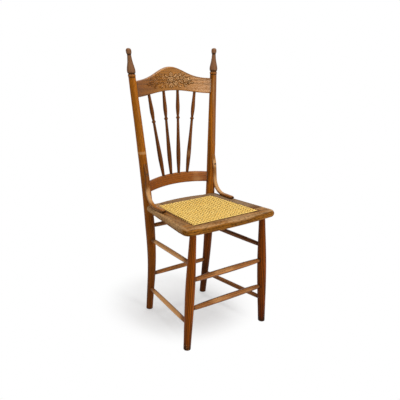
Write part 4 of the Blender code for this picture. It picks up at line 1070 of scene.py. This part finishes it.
def make_braces():
    """Bent strips with rounded faces that leave the posts and lie down on the side rails."""
    path, thickness = brace_path()
    tangent = np.gradient(path, axis=0)
    tangent /= norm(tangent, axis=1, keepdims=True)
    turn = np.linspace(0, tau, BRACE_SIDES, endpoint=False)
    across = -squarish(np.cos(turn))
    lift = squarish(np.sin(turn))
    rise = thickness[:, None] / 2 * lift
    along = lengths_along(path)[:, None]
    length = along.max()
    for seed, (name, side) in enumerate(SIDES, 61):
        rings = stacked(side * BRACE_X + BRACE_WIDTH / 2 * across, path[:, :1] + tangent[:, 1:] * rise,
                        path[:, 1:] - tangent[:, :1] * rise)
        spot = np.hypot(rings[..., 0] - side * BRACE_X, rings[..., 2] - BRACE_SCREW_HEIGHT)
        dimple = ease(0.0046, 0.0036, spot) * (lift > 0)
        rings[..., 1] += DIMPLE_DEPTH * dimple
        grime = most(0.8 * dimple, 0.85 * ease(length - 0.004, length, along),
                     0.6 * hill(rings[..., 2] - SEAT_HEIGHT, 0.002), 0.6 * ease(0.7, 0.95, across) * (lift > -0.5))
        # Pale on the front face, most at the bend and at the right brace's tip: partly wear, partly painted
        # highlights.
        tip = hill(along - 0.035, 0.015) * (side > 0)
        wear = (0.3 + 0.5 * hill(along - 0.125, 0.035) + 0.45 * tip) * ease(0.0, 0.8, lift - 0.3 * across)
        if side < 0:
            wear *= ease(0.05, 0.11, along)
        body(f"{name}_hip_brace", "brace_oak", rings, grain(seed, along, BRACE_WIDTH / 2 * across, rise, 0.02),
             grime=grime, wear=wear, shade=0.05 + BRACE_SHADE[name] * ease(0.115, 0.07, along))


# Woven cane: strand sections across, up and how dark with painted shade, then sizes

STRAND_ACROSS = np.array((-0.3, 0.3, 0.5, 0.32, 0.0, -0.32, -0.5))
STRAND_UP = np.array((-0.0045, -0.0045, -0.0003, 0.0003, 0.00045, 0.0003, -0.0003))
STRAND_SHADE = np.array((1.0, 1.0, 0.92, 0.0, 0.0, 0.0, 0.92))
CANE_PITCH = (0.0134, 0.0118)
CANE_PAIR = 0.0015
CANE_WIDTH = 0.0029
CANE_DIAGONAL_WIDTH = 0.0025
CANE_RISE = 0.0009
CANE_PLAIN_RISE = 0.35 * CANE_RISE
CANE_DIAGONAL_RISE = 1.25 * CANE_RISE
CANE_STEP = 0.002
CANE_LEVEL = SEAT_HEIGHT + 0.0013
CANE_SAG = 0.0045
CANE_DIP = 0.0022
CANE_REACH = 0.5
FIELD_SAMPLES = 4001


def clip_to_field(start, end):
    """The part of a plan line that lies in the woven field, or nothing."""
    line = start + np.linspace(0, 1, FIELD_SAMPLES)[:, None] * (end - start)
    x, y = line.T
    inside = line[(np.abs(x) <= cane_edge(y, x)) & (y >= CANE_FRONT) & (y <= CANE_BACK)]
    return (inside[0], inside[-1]) if len(inside) > 1 else None


def cane_sag(x, y):
    """How far the field hangs below the frame's top."""
    across = np.clip(1 - (x / opening_edge(y)) ** 2, 0, 1)
    depth = OPENING_BACK_Y - OPENING_FRONT_Y
    return CANE_SAG * across * np.clip(4 * (y - OPENING_FRONT_Y) * (OPENING_BACK_Y - y) / depth ** 2, 0, 1)


def strand(start, end, width, height, seed):
    """Rings and looks of one strand; height gives its level over the field along it."""
    length = norm(end - start)
    count = max(6, int(length / CANE_STEP))
    t = np.linspace(0, 1, count)
    plan = start + t[:, None] * (end - start)
    edge = np.minimum(t, 1 - t) * length
    level = height(plan) * ease(0.0, 0.006, edge) - CANE_DIP * ease(0.0035, 0.0, edge)
    along = (end - start) / length
    offsets = STRAND_ACROSS * width
    place = plan[:, None] + offsets[:, None] * np.array((-along[1], along[0]))
    rings = stacked(place[..., 0], place[..., 1],
                    (CANE_LEVEL + level - cane_sag(plan[:, 0], plan[:, 1]))[:, None] + STRAND_UP)
    draw = np.random.default_rng(seed)
    wood = stacked(t[:, None] * length + draw.uniform(0, 9), offsets + draw.uniform(0, 1), STRAND_UP)
    # Painted shade where the strand dips under others and on its sides and underside; dirt at its ends.
    low = ease(0.4 * CANE_RISE, -1.2 * CANE_RISE, level)[:, None]
    grime = most(0.7 * ease(0.004, 0.0, edge)[:, None], STRAND_SHADE, 0.25 * low).ravel()
    return rings, wood.reshape(-1, 3), grime, np.full(len(grime), draw.uniform(0, 1))


def cane_layer(label, lines, width, height, first_seed):
    """One layer of the weave as a single piece."""
    strands = []
    faces = []
    total = 0
    for seed, ends in enumerate(lines, first_seed):
        rings, *looks = strand(*ends, width, height, seed)
        points, quads = skin(rings)
        faces += [[index + total for index in face] for face in quads]
        total += len(points)
        strands.append((points, *looks))
    points, wood, grime, shade = (np.concatenate(rows) for rows in zip(*strands))
    piece("seat_cane", "cane", points, faces, wood, label, grime=grime, shade=shade)


def make_cane():
    """Six-way weave: pairs both ways and a diagonal each way, over and under."""
    wide, deep = CANE_PITCH
    middle = np.array((0.0, (CANE_FRONT + CANE_BACK) / 2))
    count = int(SEAT_FRONT_HALF / deep)
    pairs = [(step, offset) for step in range(-count, count + 1) for offset in (-CANE_PAIR, CANE_PAIR)]
    slants = [((step + 0.5) * wide, 0.0) for step in range(-2 * count, 2 * count + 1)]

    def woven(plan):
        near_x = np.cos(tau * plan[:, 0] / wide)
        near_y = np.cos(tau * (plan[:, 1] - middle[1]) / deep)
        return CANE_DIAGONAL_RISE * np.clip(near_x - near_y, -1, 1)

    layers = (
        ("front_to_back", (0.0, 1.0), [(step * wide + offset, 0.0) for step, offset in pairs], CANE_WIDTH,
         lambda plan: np.full(len(plan), -CANE_PLAIN_RISE)),
        ("side_to_side", (1.0, 0.0), [(0.0, step * deep + offset) for step, offset in pairs], CANE_WIDTH,
         lambda plan: np.full(len(plan), CANE_PLAIN_RISE)),
        ("rising_diagonal", (wide, deep), slants, CANE_DIAGONAL_WIDTH, woven),
        ("falling_diagonal", (-wide, deep), slants, CANE_DIAGONAL_WIDTH, lambda plan: -woven(plan)))
    for number, (label, way, places, width, height) in enumerate(layers, 1):
        way = CANE_REACH * np.array(way) / norm(way)
        found = [clip_to_field(middle + place - way, middle + place + way) for place in places]
        lines = [ends for ends in found if ends is not None and norm(ends[1] - ends[0]) > wide]
        cane_layer(label, lines, width, height, 1000 * number)


# Stage, light and camera

FLOOR_HALF = 6.0
FLOOR_LEVEL = -0.0002
FLOOR_GREY = (0.94, 0.94, 0.94)
SHADOW_MIDDLE = (0.0, 0.13, 0.0)
WHITE = (1.0, 1.0, 1.0)
WORLD_STRENGTH = 0.36
# Lamps: place, target, size and power
LAMPS = (("overhead", (0.2, 0.0, 3.0), (0.0, 0.0, 0.4), 1.6, 48.0),
         ("front", (0.5, -3.0, 1.3), (0.0, 0.0, 0.6), 0.8, 40.0),
         ("left", (-2.6, -0.8, 1.5), (0.0, 0.0, 0.5), 1.6, 4.0))
CAMERA_PLACE = (-1.0906, -1.3741, 1.0216)
CAMERA_HEADING = 0.576
CAMERA_PITCH = -0.2976
CAMERA_LENS = 44.4
CAMERA_SHIFT = 0.1
SENSOR_WIDTH = 36.0


def make_floor():
    """Pale floor that keeps the chair's shadow near it and fades to white farther out."""
    mesh = bpy.data.meshes.new("floor")
    corners = [(x * FLOOR_HALF, y * FLOOR_HALF, FLOOR_LEVEL) for x, y in ((-1, -1), (1, -1), (1, 1), (-1, 1))]
    mesh.from_pydata(corners, [], [(0, 1, 2, 3)])
    floor = link("floor", mesh)
    graph = Graph(bpy.data.materials.new("floor_white"))
    graph.dress({"Base Color": FLOOR_GREY, "Roughness": 1.0, "Specular IOR Level": 0.0})
    away = graph.vector("DISTANCE", graph.add("ShaderNodeNewGeometry", output="Position"), SHADOW_MIDDLE, "Value")
    fade = graph.math("MULTIPLY", graph.rise(away, 0.16, 0.35, 0.42, 1.0), graph.seen())
    glow = graph.add("ShaderNodeEmission")
    blend = graph.add("ShaderNodeMixShader", {0: fade, 1: graph.shader.outputs[0], 2: glow})
    graph.put(blend, graph.tree.nodes["Material Output"].inputs["Surface"])
    mesh.materials.append(graph.owner)


def make_world():
    """White backdrop where it is seen, softer even light for the chair."""
    world = bpy.data.worlds.new("studio")
    bpy.context.scene.world = world
    graph = Graph(world)
    graph.dress({"Color": WHITE, "Strength": graph.rise(graph.seen(), 0.0, 1.0, WORLD_STRENGTH, 1.0)})


def aim(name, data, place, way):
    """Lamp or camera at a place, looking along a way."""
    made = link(name, data)
    made.location = place
    made.rotation_mode = "QUATERNION"
    made.rotation_quaternion = way.to_track_quat("-Z", "Y")
    return made


def make_lights():
    """Large soft light overhead, a smaller one in front of the chair and a weak one from its left."""
    for name, place, target, size, power in LAMPS:
        data = bpy.data.lights.new(name, "AREA")
        data.size = size
        data.energy = power
        aim(name, data, place, Vector(target) - Vector(place))


def make_camera():
    """Camera at the photograph's viewing angle."""
    data = bpy.data.cameras.new("camera")
    data.sensor_width = SENSOR_WIDTH
    data.lens = CAMERA_LENS
    data.shift_x = CAMERA_SHIFT
    level = cos(CAMERA_PITCH)
    way = Vector((sin(CAMERA_HEADING) * level, cos(CAMERA_HEADING) * level, sin(CAMERA_PITCH)))
    bpy.context.scene.camera = aim("camera", data, Vector(CAMERA_PLACE) + Vector(SHIFT), way)


def finish_fasteners():
    """Materials for the dowels and screws, which keep their CAD shapes."""
    for name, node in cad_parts.items():
        if "dowel" in name or "screw" in name:
            slot = "dowel_birch" if "dowel" in name else "screw_steel"
            node.data.materials.clear()
            node.data.materials.append(FINISHES[slot])


make_posts()
make_legs()
make_rungs()
make_spindles()
make_crest()
make_lower_rail()
make_front_rail()
make_side_rails()
make_rear_rail()
make_braces()
make_cane()
finish_fasteners()
make_floor()
make_world()
make_lights()
make_camera()
bpy.context.scene.view_settings.view_transform = "Standard"

bpy.context.view_layer.update()
